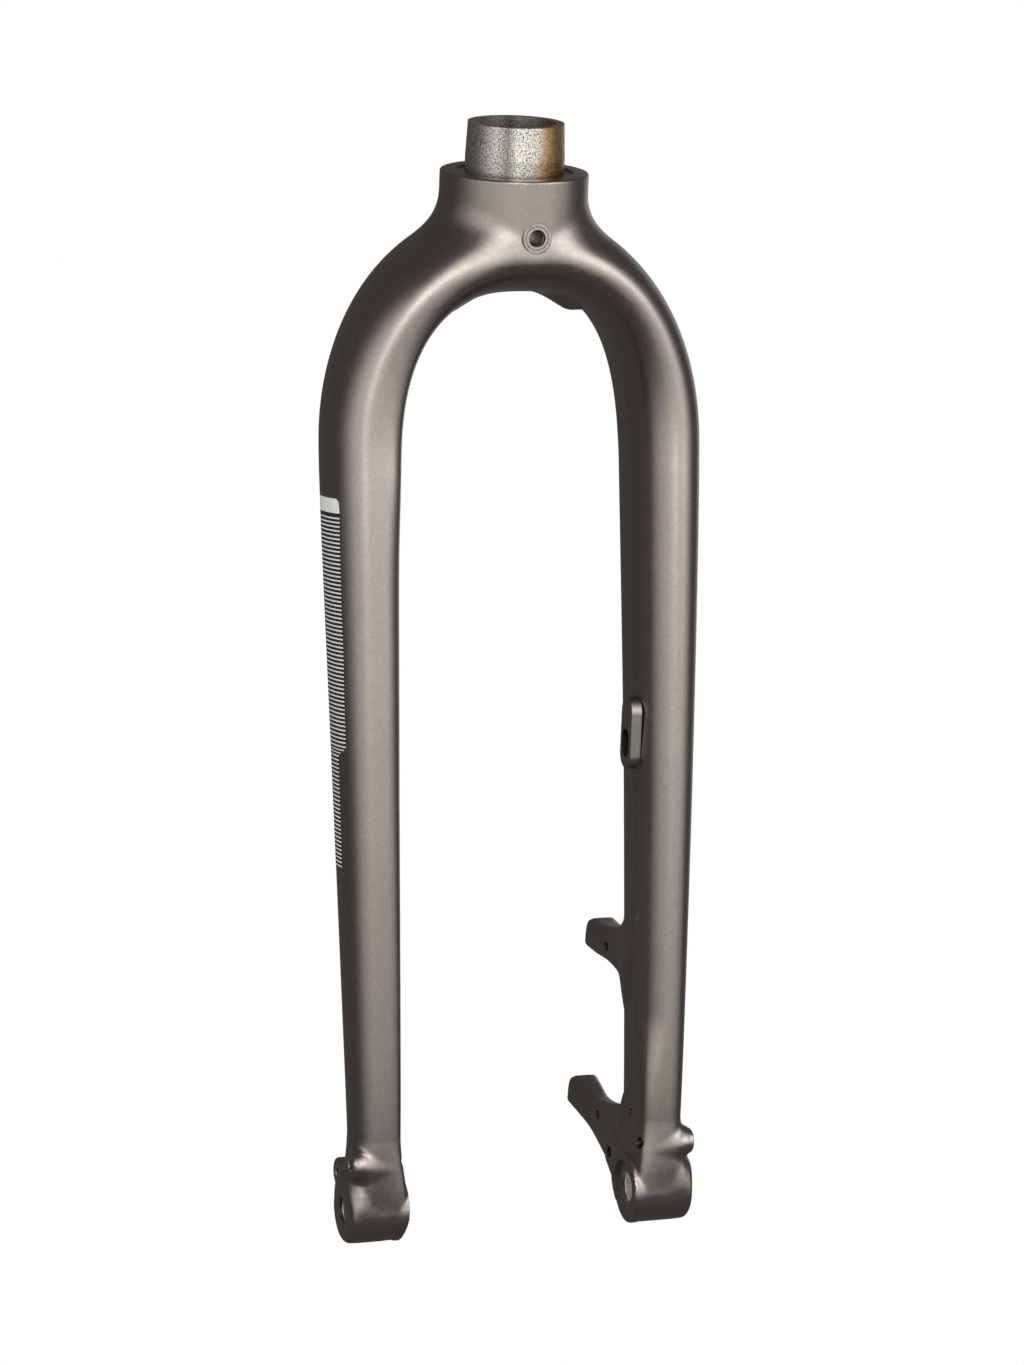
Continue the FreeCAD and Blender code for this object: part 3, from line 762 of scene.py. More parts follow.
class Skin:
    """Mesh of a smooth form, made of quads that lie on it."""

    FAR = 50.0  # distance kept where the form isn't sampled
    SLAB = 12  # grid lines sampled at once in height
    UNDER_CROWN = 14.0  # below this drop the gap between the legs is left out
    INTO_GAP = 6.0  # how far into the gap the grid still reaches
    CROWN_END = -128.0  # points above and below it are settled apart, which is quicker
    LEAST_SLOPE = 0.05
    LONGEST_MOVE = 0.5

    def __init__(self, form: BodyForm, xs: Array, ys: Array, zs: Array) -> None:
        """Sample the form on a grid.

        Args:
            form: the form.
            xs: grid lines across.
            ys: grid lines from front to back.
            zs: grid lines in height.
        """
        self.form = form
        self.lines = (xs, ys, zs)
        self.values = np.full((len(xs), len(ys), len(zs)), self.FAR)
        leg_cut = form.crown.mean_z - self.UNDER_CROWN
        for k in range(0, len(zs), self.SLAB):
            heights = zs[k:k + self.SLAB]
            ranges = [(0, len(xs))]
            if heights[-1] < leg_cut:
                inner = form.end.hub_face - self.INTO_GAP
                ranges = [(0, int(np.searchsorted(xs, -inner))), (int(np.searchsorted(xs, inner)), len(xs))]
            for first, last in ranges:
                x, y, z = np.meshgrid(xs[first:last], ys, heights, indexing="ij")
                self.values[first:last, :, k:k + self.SLAB] = form.distance(x, y, z)

    def cells(self) -> Tuple[Array, Array]:
        """One point in each cell that the surface passes through.

        Returns:
            The points, and the number of the point in each cell, -1 for none.
        """
        shape = tuple(n - 1 for n in self.values.shape)
        total = np.zeros(shape + (3,))
        count = np.zeros(shape)
        grids = np.meshgrid(*self.lines, indexing="ij")
        for axis in range(3):
            low = [slice(None)] * 3
            high = [slice(None)] * 3
            low[axis], high[axis] = slice(None, -1), slice(1, None)
            a, b = self.values[tuple(low)], self.values[tuple(high)]
            crossing = (a < 0) != (b < 0)
            share = np.where(crossing, a / np.where(crossing, a - b, 1.0), 0.0)
            places = []
            for g in range(3):
                start, end = grids[g][tuple(low)], grids[g][tuple(high)]
                places.append(np.where(crossing, start + (end - start) * share, 0.0))
            others = [k for k in range(3) if k != axis]
            for i in (0, 1):
                for j in (0, 1):
                    window = [slice(None)] * 3
                    window[others[0]] = slice(i, shape[others[0]] + i)
                    window[others[1]] = slice(j, shape[others[1]] + j)
                    window = tuple(window)
                    count += crossing[window]
                    for g in range(3):
                        total[..., g] += places[g][window]
        active = count > 0
        numbers = np.full(shape, -1, dtype=np.int64)
        numbers[active] = np.arange(int(active.sum()))
        return total[active] / count[active][:, None], numbers

    def faces(self, numbers: Array) -> Array:
        """Quads between the cells' points.

        Args:
            numbers: the number of the point in each cell.

        Returns:
            Rows of four point numbers.
        """
        found = []
        for axis in range(3):
            low = [slice(None)] * 3
            high = [slice(None)] * 3
            low[axis], high[axis] = slice(None, -1), slice(1, None)
            a, b = self.values[tuple(low)], self.values[tuple(high)]
            u, v = (axis + 1) % 3, (axis + 2) % 3
            for outward in (True, False):
                hit = (a < 0) & (b >= 0) if outward else (a >= 0) & (b < 0)
                index = np.array(np.nonzero(hit))
                index = index[:, (index[u] > 0) & (index[v] > 0)]
                corners = []
                for du, dv in ((1, 1), (0, 1), (0, 0), (1, 0)):
                    cell = index.copy()
                    cell[u] -= du
                    cell[v] -= dv
                    corners.append(numbers[tuple(cell)])
                quads = np.stack(corners, axis=1)
                found.append(quads if outward else quads[:, ::-1])
        return np.concatenate(found)

    def settle(self, points: Array, rounds: int = 4) -> Array:
        """Move points onto the surface.

        Args:
            points: rows of x, y, z near it.
            rounds: how many times to correct them.

        Returns:
            The points on the surface.
        """
        points = points.copy()
        for _ in range(rounds):
            for region in (points[:, 2] > self.CROWN_END, points[:, 2] <= self.CROWN_END):
                part = points[region]
                here, slopes = self.form.slope(part)
                size = np.maximum((slopes ** 2).sum(axis=1), self.LEAST_SLOPE)
                move = slopes * (here / size)[:, None]
                length = np.linalg.norm(move, axis=1, keepdims=True)
                move *= np.minimum(1.0, self.LONGEST_MOVE / np.maximum(length, 1e-9))
                points[region] = part - move
        return points

    def build(self, name: str) -> bpy.types.Object:
        """Make the mesh object, in metres.

        Args:
            name: the object's name.

        Returns:
            The object.
        """
        points, numbers = self.cells()
        quads = self.faces(numbers)
        points = self.settle(points)
        return mesh_object(name, points, quads)


def mesh_object(name: str, points: Array, faces: Sequence[Sequence[int]]) -> bpy.types.Object:
    """Make a mesh object from points in mm.

    Args:
        name: the object's name.
        points: rows of x, y, z in mm.
        faces: corner numbers of each face.

    Returns:
        The object, linked into the scene.
    """
    mesh = bpy.data.meshes.new(name)
    rows = [tuple(int(k) for k in f) for f in faces]
    mesh.from_pydata([tuple(float(c) * MM for c in p) for p in points], [], rows)
    mesh.update()
    made = bpy.data.objects.new(name, mesh)
    bpy.context.scene.collection.objects.link(made)
    return made


def lathe(profile: Sequence[Pair], origin: Sequence[float], axis: Sequence[float], count: int) -> Form:
    """Closed form turned round an axis.

    Args:
        profile: pairs of a distance along the axis and a radius, from one end to the other.
        origin: a point on the axis, in mm.
        axis: direction of the axis.
        count: sides of the form.

    Returns:
        Points in mm and faces.
    """
    line = Vector(axis).normalized()
    side = line.orthogonal().normalized()
    other = line.cross(side)
    points: List[Point] = []
    for along, radius in profile:
        for k in range(count):
            turn = 2.0 * math.pi * k / count
            place = (Vector(origin) + line * along + side * (radius * math.cos(turn))
                     + other * (radius * math.sin(turn)))
            points.append(tuple(place))
    faces: List[Tuple[int, ...]] = [tuple(reversed(range(count)))]
    for row in range(len(profile) - 1):
        for k in range(count):
            a, b = row * count + k, row * count + (k + 1) % count
            faces.append((a, b, b + count, a + count))
    last = (len(profile) - 1) * count
    faces.append(tuple(range(last, last + count)))
    return points, faces


def slot_form(width: float, height: float, start: float, end: float, y: float, z: float) -> Form:
    """Upright slot with round ends, running across the fork.

    Args:
        width: its width from front to back.
        height: its whole height.
        start: x where it starts.
        end: x where it ends.
        y: its middle from front to back.
        z: its middle in height.

    Returns:
        Points in mm and faces.
    """
    radius, half = width / 2.0, (height - width) / 2.0
    outline = []
    for first, rise in ((0.0, half), (math.pi, -half)):
        for k in range(ARC_STEPS + 1):
            turn = first + math.pi * k / ARC_STEPS
            outline.append((y + radius * math.cos(turn), z + rise + radius * math.sin(turn)))
    return prism(outline, start, end)


def prism(outline: Sequence[Pair], start: float, end: float) -> Form:
    """Closed form with one outline all along x.

    Args:
        outline: pairs of y and z, in the order from +y to +z.
        start: x where it starts.
        end: x where it ends.

    Returns:
        Points in mm and faces.
    """
    count = len(outline)
    points = [(start, y, z) for y, z in outline] + [(end, y, z) for y, z in outline]
    faces: List[Tuple[int, ...]] = [tuple(reversed(range(count))), tuple(range(count, 2 * count))]
    for k in range(count):
        n = (k + 1) % count
        faces.append((k, n, n + count, k + count))
    return points, faces


def join_forms(name: str, forms: Sequence[Form]) -> bpy.types.Object:
    """One mesh object from several closed forms.

    Args:
        name: the object's name.
        forms: points and faces of each form.

    Returns:
        The object.
    """
    points: List[Point] = []
    faces: List[Tuple[int, ...]] = []
    for form_points, form_faces in forms:
        base = len(points)
        points += form_points
        faces += [tuple(base + k for k in f) for f in form_faces]
    return mesh_object(name, points, faces)


def cut(target: bpy.types.Object, tool: bpy.types.Object) -> None:
    """Cut one object out of another and remove the tool.

    Args:
        target: what is cut.
        tool: what is taken out of it.
    """
    step = target.modifiers.new("cut", "BOOLEAN")
    step.operation = "DIFFERENCE"
    step.solver = "EXACT"
    step.object = tool
    bpy.context.view_layer.update()
    graph = bpy.context.evaluated_depsgraph_get()
    result = bpy.data.meshes.new_from_object(target.evaluated_get(graph))
    target.modifiers.clear()
    old = target.data
    target.data = result
    result.name = target.name
    bpy.data.meshes.remove(old)
    bpy.data.objects.remove(tool)


def soften(target: bpy.types.Object, degrees: float = 33.0) -> None:
    """Shade an object smooth, with its real edges kept.

    Args:
        target: the object.
        degrees: edges sharper than this stay.
    """
    target.data.shade_smooth()
    target.data.set_sharp_from_angle(angle=math.radians(degrees))


def feed(tree: bpy.types.NodeTree, value: object, socket: Socket) -> None:
    """Feed a socket from another one or with a plain number.

    Args:
        tree: the nodes.
        value: a socket or a number.
        socket: what is fed.
    """
    if isinstance(value, Socket):
        tree.links.new(value, socket)
    else:
        socket.default_value = value


def math_node(tree: bpy.types.NodeTree, operation: str, *values: object) -> Socket:
    """Arithmetic on values.

    Args:
        tree: the nodes to add to.
        operation: Blender's name of the operation.
        values: sockets or numbers.

    Returns:
        The result.
    """
    node = tree.nodes.new("ShaderNodeMath")
    node.operation = operation
    for value, socket in zip(values, node.inputs):
        feed(tree, value, socket)
    return node.outputs[0]


def vector_node(tree: bpy.types.NodeTree, operation: str, *values: object) -> bpy.types.NodeOutputs:
    """Arithmetic on vectors.

    Args:
        tree: the nodes to add to.
        operation: Blender's name of the operation.
        values: sockets or rows of three numbers.

    Returns:
        The node's outputs: a vector, then a value.
    """
    node = tree.nodes.new("ShaderNodeVectorMath")
    node.operation = operation
    for value, socket in zip(values, node.inputs):
        feed(tree, value, socket)
    return node.outputs


def range_node(tree: bpy.types.NodeTree, value: Socket, low: float, high: float, start: float = 0.0,
               end: float = 1.0, soft: bool = False) -> Socket:
    """Value moved from one range to another, and held at its ends.

    Args:
        tree: the nodes to add to.
        value: the value.
        low: start of its range.
        high: end of its range.
        start: result at low.
        end: result at high.
        soft: true for a smooth way between the ends.

    Returns:
        The result.
    """
    node = tree.nodes.new("ShaderNodeMapRange")
    if soft:
        node.interpolation_type = "SMOOTHSTEP"
    feed(tree, value, node.inputs["Value"])
    for name, number in (("From Min", low), ("From Max", high), ("To Min", start), ("To Max", end)):
        node.inputs[name].default_value = number
    return node.outputs["Result"]


class Shader:
    """A material under construction."""

    def __init__(self, name: str) -> None:
        """Start a material with its surface and the object's own coordinates.

        Args:
            name: its name.
        """
        self.material = bpy.data.materials.new(name)
        self.material.use_nodes = True
        self.tree = self.material.node_tree
        self.surface = self.tree.nodes["Principled BSDF"]
        self.place = self.tree.nodes.new("ShaderNodeTexCoord").outputs["Object"]

    def constant(self, **values: object) -> None:
        """Set plain values on the surface's own sockets, named with _ for a space."""
        for name, value in values.items():
            self.surface.inputs[name.replace("_", " ")].default_value = value

    def noise(self, scale: float, detail: float = 3.0, rough: float = 0.5) -> Socket:
        """Even noise.

        Args:
            scale: how many grains to a metre.
            detail: finer layers.
            rough: weight of the finer layers.

        Returns:
            Its value.
        """
        node = self.tree.nodes.new("ShaderNodeTexNoise")
        node.inputs["Scale"].default_value = scale
        node.inputs["Detail"].default_value = detail
        node.inputs["Roughness"].default_value = rough
        feed(self.tree, self.place, node.inputs["Vector"])
        return node.outputs["Fac"]

    def flakes(self, scale: float) -> Socket:
        """Flat cells of random shade.

        Args:
            scale: how many cells to a metre.

        Returns:
            Their shade.
        """
        node = self.tree.nodes.new("ShaderNodeTexVoronoi")
        node.inputs["Scale"].default_value = scale
        feed(self.tree, self.place, node.inputs["Vector"])
        return self.channel(node.outputs["Color"], 0)

    def channel(self, colour: Socket, which: int) -> Socket:
        """One channel of a colour or vector.

        Args:
            colour: the colour or vector.
            which: 0, 1 or 2.

        Returns:
            That channel.
        """
        node = self.tree.nodes.new("ShaderNodeSeparateXYZ")
        feed(self.tree, colour, node.inputs[0])
        return node.outputs[which]

    def maths(self, operation: str, *values: object) -> Socket:
        """Arithmetic on sockets or numbers, as math_node gives it."""
        return math_node(self.tree, operation, *values)

    def spread(self, value: Socket, low: float, high: float, start: float, end: float) -> Socket:
        """Value moved from low and high to start and end, and held there."""
        return range_node(self.tree, value, low, high, start, end)

    def blend(self, share: Socket, first: object, second: object) -> Socket:
        """Mix of two colours.

        Args:
            share: share of the second.
            first: a colour or a socket.
            second: a colour or a socket.

        Returns:
            The colour.
        """
        node = self.tree.nodes.new("ShaderNodeMix")
        node.data_type = "RGBA"
        feed(self.tree, share, node.inputs[0])
        for index, value in ((6, first), (7, second)):
            plain = value if isinstance(value, Socket) else (*value, 1.0)
            feed(self.tree, plain, node.inputs[index])
        return node.outputs[2]

    def bump(self, height: Socket, depth: float, strength: float) -> None:
        """Fine relief.

        Args:
            height: the relief, 0 to 1.
            depth: its depth in metres.
            strength: how much of it counts.
        """
        node = self.tree.nodes.new("ShaderNodeBump")
        node.inputs["Strength"].default_value = strength
        node.inputs["Distance"].default_value = depth
        feed(self.tree, height, node.inputs["Height"])
        feed(self.tree, node.outputs["Normal"], self.surface.inputs["Normal"])

    def colour(self, source: Socket) -> None:
        """Give the surface its colour."""
        feed(self.tree, source, self.surface.inputs["Base Color"])

    def roughness(self, source: Socket) -> None:
        """Give the surface its roughness."""
        feed(self.tree, source, self.surface.inputs["Roughness"])


@dataclass(frozen=True)
class FlakePaint:
    """Satin metallic paint with fine flake; grains are counted to a metre."""

    name: str = "warm_grey_metallic"
    dark: Colour = (0.275, 0.252, 0.236)
    light: Colour = (0.420, 0.388, 0.366)
    flake: float = 2600.0
    flake_share: Pair = (0.25, 0.75)
    cloud: float = 45.0
    cloud_share: Pair = (-0.06, 0.06)
    sheen_grain: float = 420.0
    rough: Pair = (0.27, 0.33)
    peel: float = 3200.0
    peel_depth: float = 0.00002
    peel_strength: float = 0.35
    metallic: float = 1.0

    def make(self) -> bpy.types.Material:
        """Make the material.

        Returns:
            The material.
        """
        s = Shader(self.name)
        s.constant(Metallic=self.metallic)
        grain = s.spread(s.flakes(self.flake), 0.0, 1.0, *self.flake_share)
        cloud = s.spread(s.noise(self.cloud, 4.0), *NOISE_RANGE, *self.cloud_share)
        s.colour(s.blend(s.maths("ADD", grain, cloud), self.dark, self.light))
        s.roughness(s.spread(s.noise(self.sheen_grain, 2.0), *NOISE_RANGE, *self.rough))
        s.bump(s.noise(self.peel, 2.0), self.peel_depth, self.peel_strength)
        return s.material


@dataclass(frozen=True)
class RawTube:
    """Raw speckled metal of the steerer, with brown stains, a painted dark reflection down the middle and
    painted shade on the drive-side edge; bands are in metres across it.
    """

    name: str = "raw_steerer"
    dark: Colour = (0.13, 0.11, 0.10)
    light: Colour = (0.76, 0.74, 0.715)
    stain: Colour = (0.38, 0.215, 0.062)
    rust: Colour = (0.20, 0.095, 0.035)
    slant: Pair = (0.94, 0.34)
    speckle_grain: float = 1900.0
    speckle_range: Pair = (0.42, 0.53)
    speckle_depth: float = 0.00002
    speckle_strength: float = 0.5
    # painted light: a dark reflection down the tube's middle and shade on its drive-side edge
    painted_light_strength: float = 0.7
    painted_reflection_start: Pair = (-0.0070, -0.0030)
    painted_reflection_end: Pair = (-0.0025, 0.0015)
    painted_shade_band: Pair = (-0.0190, -0.0120)
    painted_shade_grain: float = 300.0
    stain_band: Pair = (0.0075, 0.0130)
    stain_most: float = 0.95
    stain_grain: float = 420.0
    stain_range: Pair = (0.34, 0.54)
    stain_least: float = 0.45
    rust_band: Pair = (0.0040, 0.0130)
    rust_height: Pair = (0.0085, 0.0035)
    rust_grain: float = 900.0
    rust_range: Pair = (0.40, 0.58)
    rust_least: float = 0.2
    rough: Pair = (0.45, 0.27)
    metallic: float = 0.92

    def across(self, s: Shader) -> Socket:
        """Place across the tube in metres, on a slant from the drive side's front."""
        side = s.maths("MULTIPLY", s.channel(s.place, 0), self.slant[0])
        return s.maths("SUBTRACT", side, s.maths("MULTIPLY", s.channel(s.place, 1), self.slant[1]))

    def painted_light_share(self, s: Shader, across: Socket) -> Socket:
        """Share of the painted dark reflection down the middle and of the painted shade on the drive-side
        edge.

        Args:
            s: the material.
            across: place across the tube.

        Returns:
            The share.
        """
        painted_reflection = s.maths("MULTIPLY", s.spread(across, *self.painted_reflection_start, 0.0, 1.0),
                         s.spread(across, *self.painted_reflection_end, 1.0, 0.0))
        edge = s.maths("MULTIPLY", s.spread(across, *self.painted_shade_band, 1.0, 0.0), s.noise(self.painted_shade_grain, 3.0))
        return s.maths("MULTIPLY", s.maths("MAXIMUM", painted_reflection, edge), self.painted_light_strength)

    def stain_share(self, s: Shader, across: Socket) -> Socket:
        """Share of the brown stain on the disc side, by the place across the tube."""
        blotch = s.spread(s.noise(self.stain_grain, 5.0, 0.7), *self.stain_range, self.stain_least, 1.0)
        return s.maths("MULTIPLY", s.spread(across, *self.stain_band, 0.0, self.stain_most), blotch)

    def rust_share(self, s: Shader, across: Socket) -> Socket:
        """Share of the darker stain at the foot of the disc side.

        Args:
            s: the material.
            across: place across the tube.

        Returns:
            The share.
        """
        low = s.maths("MULTIPLY", s.spread(across, *self.rust_band, 0.0, 1.0),
                      s.spread(s.channel(s.place, 2), *self.rust_height, 0.0, 1.0))
        blotch = s.spread(s.noise(self.rust_grain, 5.0, 0.7), *self.rust_range, self.rust_least, 1.0)
        return s.maths("MULTIPLY", low, blotch)

    def make(self) -> bpy.types.Material:
        """Make the material.

        Returns:
            The material.
        """
        s = Shader(self.name)
        s.constant(Metallic=self.metallic)
        across = self.across(s)
        speckle = s.spread(s.noise(self.speckle_grain, 4.0, 0.7), *self.speckle_range, 0.0, 1.0)
        base = s.blend(speckle, self.dark, self.light)
        # painted dark reflection and painted shade, in the speckle's dark colour
        base = s.blend(self.painted_light_share(s, across), base, self.dark)
        base = s.blend(self.stain_share(s, across), base, self.stain)
        s.colour(s.blend(self.rust_share(s, across), base, self.rust))
        s.roughness(s.spread(speckle, 0.0, 1.0, *self.rough))
        s.bump(speckle, self.speckle_depth, self.speckle_strength)
        return s.material


@dataclass(frozen=True)
class TurnedMetal:
    """Bare turned aluminium with fine rings round an axis, whose origin is in mm."""

    name: str
    colour: Colour
    axis: Point
    origin: Point
    rough: Pair = (0.24, 0.42)
    metallic: float = 0.95
    dulled: float = 0.62
    wear_grain: float = 1500.0
    wear_range: Pair = (0.35, 0.65)
    ring_pitch: float = 0.00016
    depth: float = 0.00001
    strength: float = 0.7

    def from_axis(self, s: Shader) -> Tuple[Socket, Socket]:
        """Places across the axis.

        Args:
            s: the material.

        Returns:
            Two coordinates, in metres.
        """
        mapping = s.tree.nodes.new("ShaderNodeMapping")
        turn = Vector(self.axis).rotation_difference(Vector((0, 0, 1)))
        mapping.vector_type = "POINT"
        mapping.inputs["Rotation"].default_value = turn.to_euler()
        mapping.inputs["Location"].default_value = -(turn @ (Vector(self.origin) * MM))
        feed(s.tree, s.place, mapping.inputs["Vector"])
        local = mapping.outputs["Vector"]
        return s.channel(local, 0), s.channel(local, 1)

    def relief(self, s: Shader, a: Socket, b: Socket, radius: Socket) -> Socket:
        """Relief of the fine rings left by turning, 0 to 1, by the distance from the axis."""
        rings = s.maths("SINE", s.maths("MULTIPLY", radius, 2.0 * math.pi / self.ring_pitch))
        return s.spread(rings, -1.0, 1.0, 0.0, 1.0)

    def shade(self, s: Shader, tone: Socket, relief: Socket, radius: Socket) -> Socket:
        """Colour of the metal, which its own rings don't change."""
        return tone

    def make(self) -> bpy.types.Material:
        """Make the material.

        Returns:
            The material.
        """
        s = Shader(self.name)
        s.constant(Metallic=self.metallic)
        a, b = self.from_axis(s)
        radius = s.maths("SQRT", s.maths("ADD", s.maths("MULTIPLY", a, a), s.maths("MULTIPLY", b, b)))
        relief = self.relief(s, a, b, radius)
        wear = s.noise(self.wear_grain, 4.0, 0.6)
        dull = tuple(c * self.dulled for c in self.colour)
        tone = s.blend(s.spread(wear, *self.wear_range, 0.0, 1.0), dull, self.colour)
        s.colour(self.shade(s, tone, relief, radius))
        s.roughness(s.spread(wear, *NOISE_RANGE, *self.rough))
        s.bump(relief, self.depth, self.strength)
        return s.material


@dataclass(frozen=True)
class KnurledMetal(TurnedMetal):
    """Turned aluminium with a ring of radial grooves, and painted shade in the grooves and the mouth; sizes
    in metres.
    """

    rough: Pair = (0.26, 0.36)
    depth: float = 0.00012
    knurls: float = 34.0
    knurl_edge: float = 0.4
    ring: Pair = (0.0043, 0.0049)
    ring_edge: float = 0.0001
    mouth: float = 0.0033
    mouth_edge: float = 0.0002
    shadow: Colour = (0.03, 0.028, 0.026)
    shadow_share: float = 0.85

    def relief(self, s: Shader, a: Socket, b: Socket, radius: Socket) -> Socket:
        """Radial grooves, kept to their ring.

        Args:
            s: the material.
            a: first place across the axis.
            b: second place across it.
            radius: distance from the axis.

        Returns:
            The relief, 0 in a groove and 1 between two.
        """
        wave = s.maths("SINE", s.maths("MULTIPLY", s.maths("ARCTAN2", b, a), self.knurls))
        grooves = s.spread(wave, -self.knurl_edge, self.knurl_edge, 0.0, 1.0)
        inner, outer = self.ring
        inside = s.spread(radius, inner, inner + self.ring_edge, 1.0, 0.0)
        outside = s.spread(radius, outer, outer + self.ring_edge, 0.0, 1.0)
        return s.maths("MAXIMUM", s.maths("MAXIMUM", grooves, inside), outside)

    def shade(self, s: Shader, tone: Socket, relief: Socket, radius: Socket) -> Socket:
        """Colour of the metal, with painted shade in the grooves and in the mouth.

        Args:
            s: the material.
            tone: colour of the bare metal.
            relief: the grooves.
            radius: distance from the axis.

        Returns:
            The colour.
        """
        # painted shade in the grooves and in the mouth
        tone = s.blend(s.spread(relief, 0.0, 1.0, self.shadow_share, 0.0), tone, self.shadow)
        mouth = s.spread(radius, self.mouth, self.mouth + self.mouth_edge, self.shadow_share, 0.0)
        return s.blend(mouth, tone, self.shadow)


@dataclass(frozen=True)
class PrintInk:
    """Ink of the print, a little worn."""

    name: str
    colour: Colour
    faded: Colour
    wear_grain: float = 700.0
    wear_range: Pair = (0.45, 0.75)
    sheen_grain: float = 300.0
    rough: Pair = (0.37, 0.47)
    relief_grain: float = 2600.0
    relief_depth: float = 0.00002
    relief_strength: float = 0.3

    def make(self) -> bpy.types.Material:
        """Make the material.

        Returns:
            The material.
        """
        s = Shader(self.name)
        s.constant(Metallic=0.0)
        wear = s.spread(s.noise(self.wear_grain, 4.0), *self.wear_range, 0.0, 1.0)
        s.colour(s.blend(wear, self.colour, self.faded))
        s.roughness(s.spread(s.noise(self.sheen_grain, 2.0), *NOISE_RANGE, *self.rough))
        s.bump(s.noise(self.relief_grain, 2.0), self.relief_depth, self.relief_strength)
        return s.material


def give(piece: bpy.types.Object, material: bpy.types.Material) -> None:
    """Dress a new piece and fix it to the body.

    Args:
        piece: the piece.
        material: its material.
    """
    piece.data.materials.clear()
    piece.data.materials.append(material)
    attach(piece, BODY)
    LOG.info("%s: %d faces", piece.name, len(piece.data.polygons))


@dataclass(frozen=True)
class ToolSizes:
    """How far the cutting tools reach past what they cut, in mm, and their sides."""

    above_crown: float = 4.0
    past_face: float = 5.0
    seat_start: float = 45.0
    slot_start: float = 44.0
    slot_drop: float = 25.0
    hole_start: float = 46.0
    vent_wall: float = 50.5
    half_cross: float = 13.0
    into_gap: float = 2.0
    trim: Tuple[Pair, ...] = ((-0.1, 1.2), (-3.2, 12.0))
    trim_top: float = 10.0
    crown_sides: int = 128
    hub_sides: int = 96
    insert_sides: int = 64
    bore_sides: int = 48
    cross_sides: int = 40
    vent_sides: int = 24


@dataclass(frozen=True)
class GridStops:
    """Starts of the grid's stretches and the spacing in each, in mm."""

    across: Tuple[Pair, ...] = ((-82.0, 1.0), (-47.0, 2.0), (47.0, 0.95), (82.0, 1.0))
    ahead: Tuple[Pair, ...] = ((-64.0, 1.0), (33.0, 1.0))
    height: Tuple[Pair, ...] = (
        (-433.0, 0.85), (-376.0, 1.8), (-346.0, 1.15), (-302.0, 3.0), (-130.0, 1.6), (-6.0, 1.0), (2.0, 1.0))


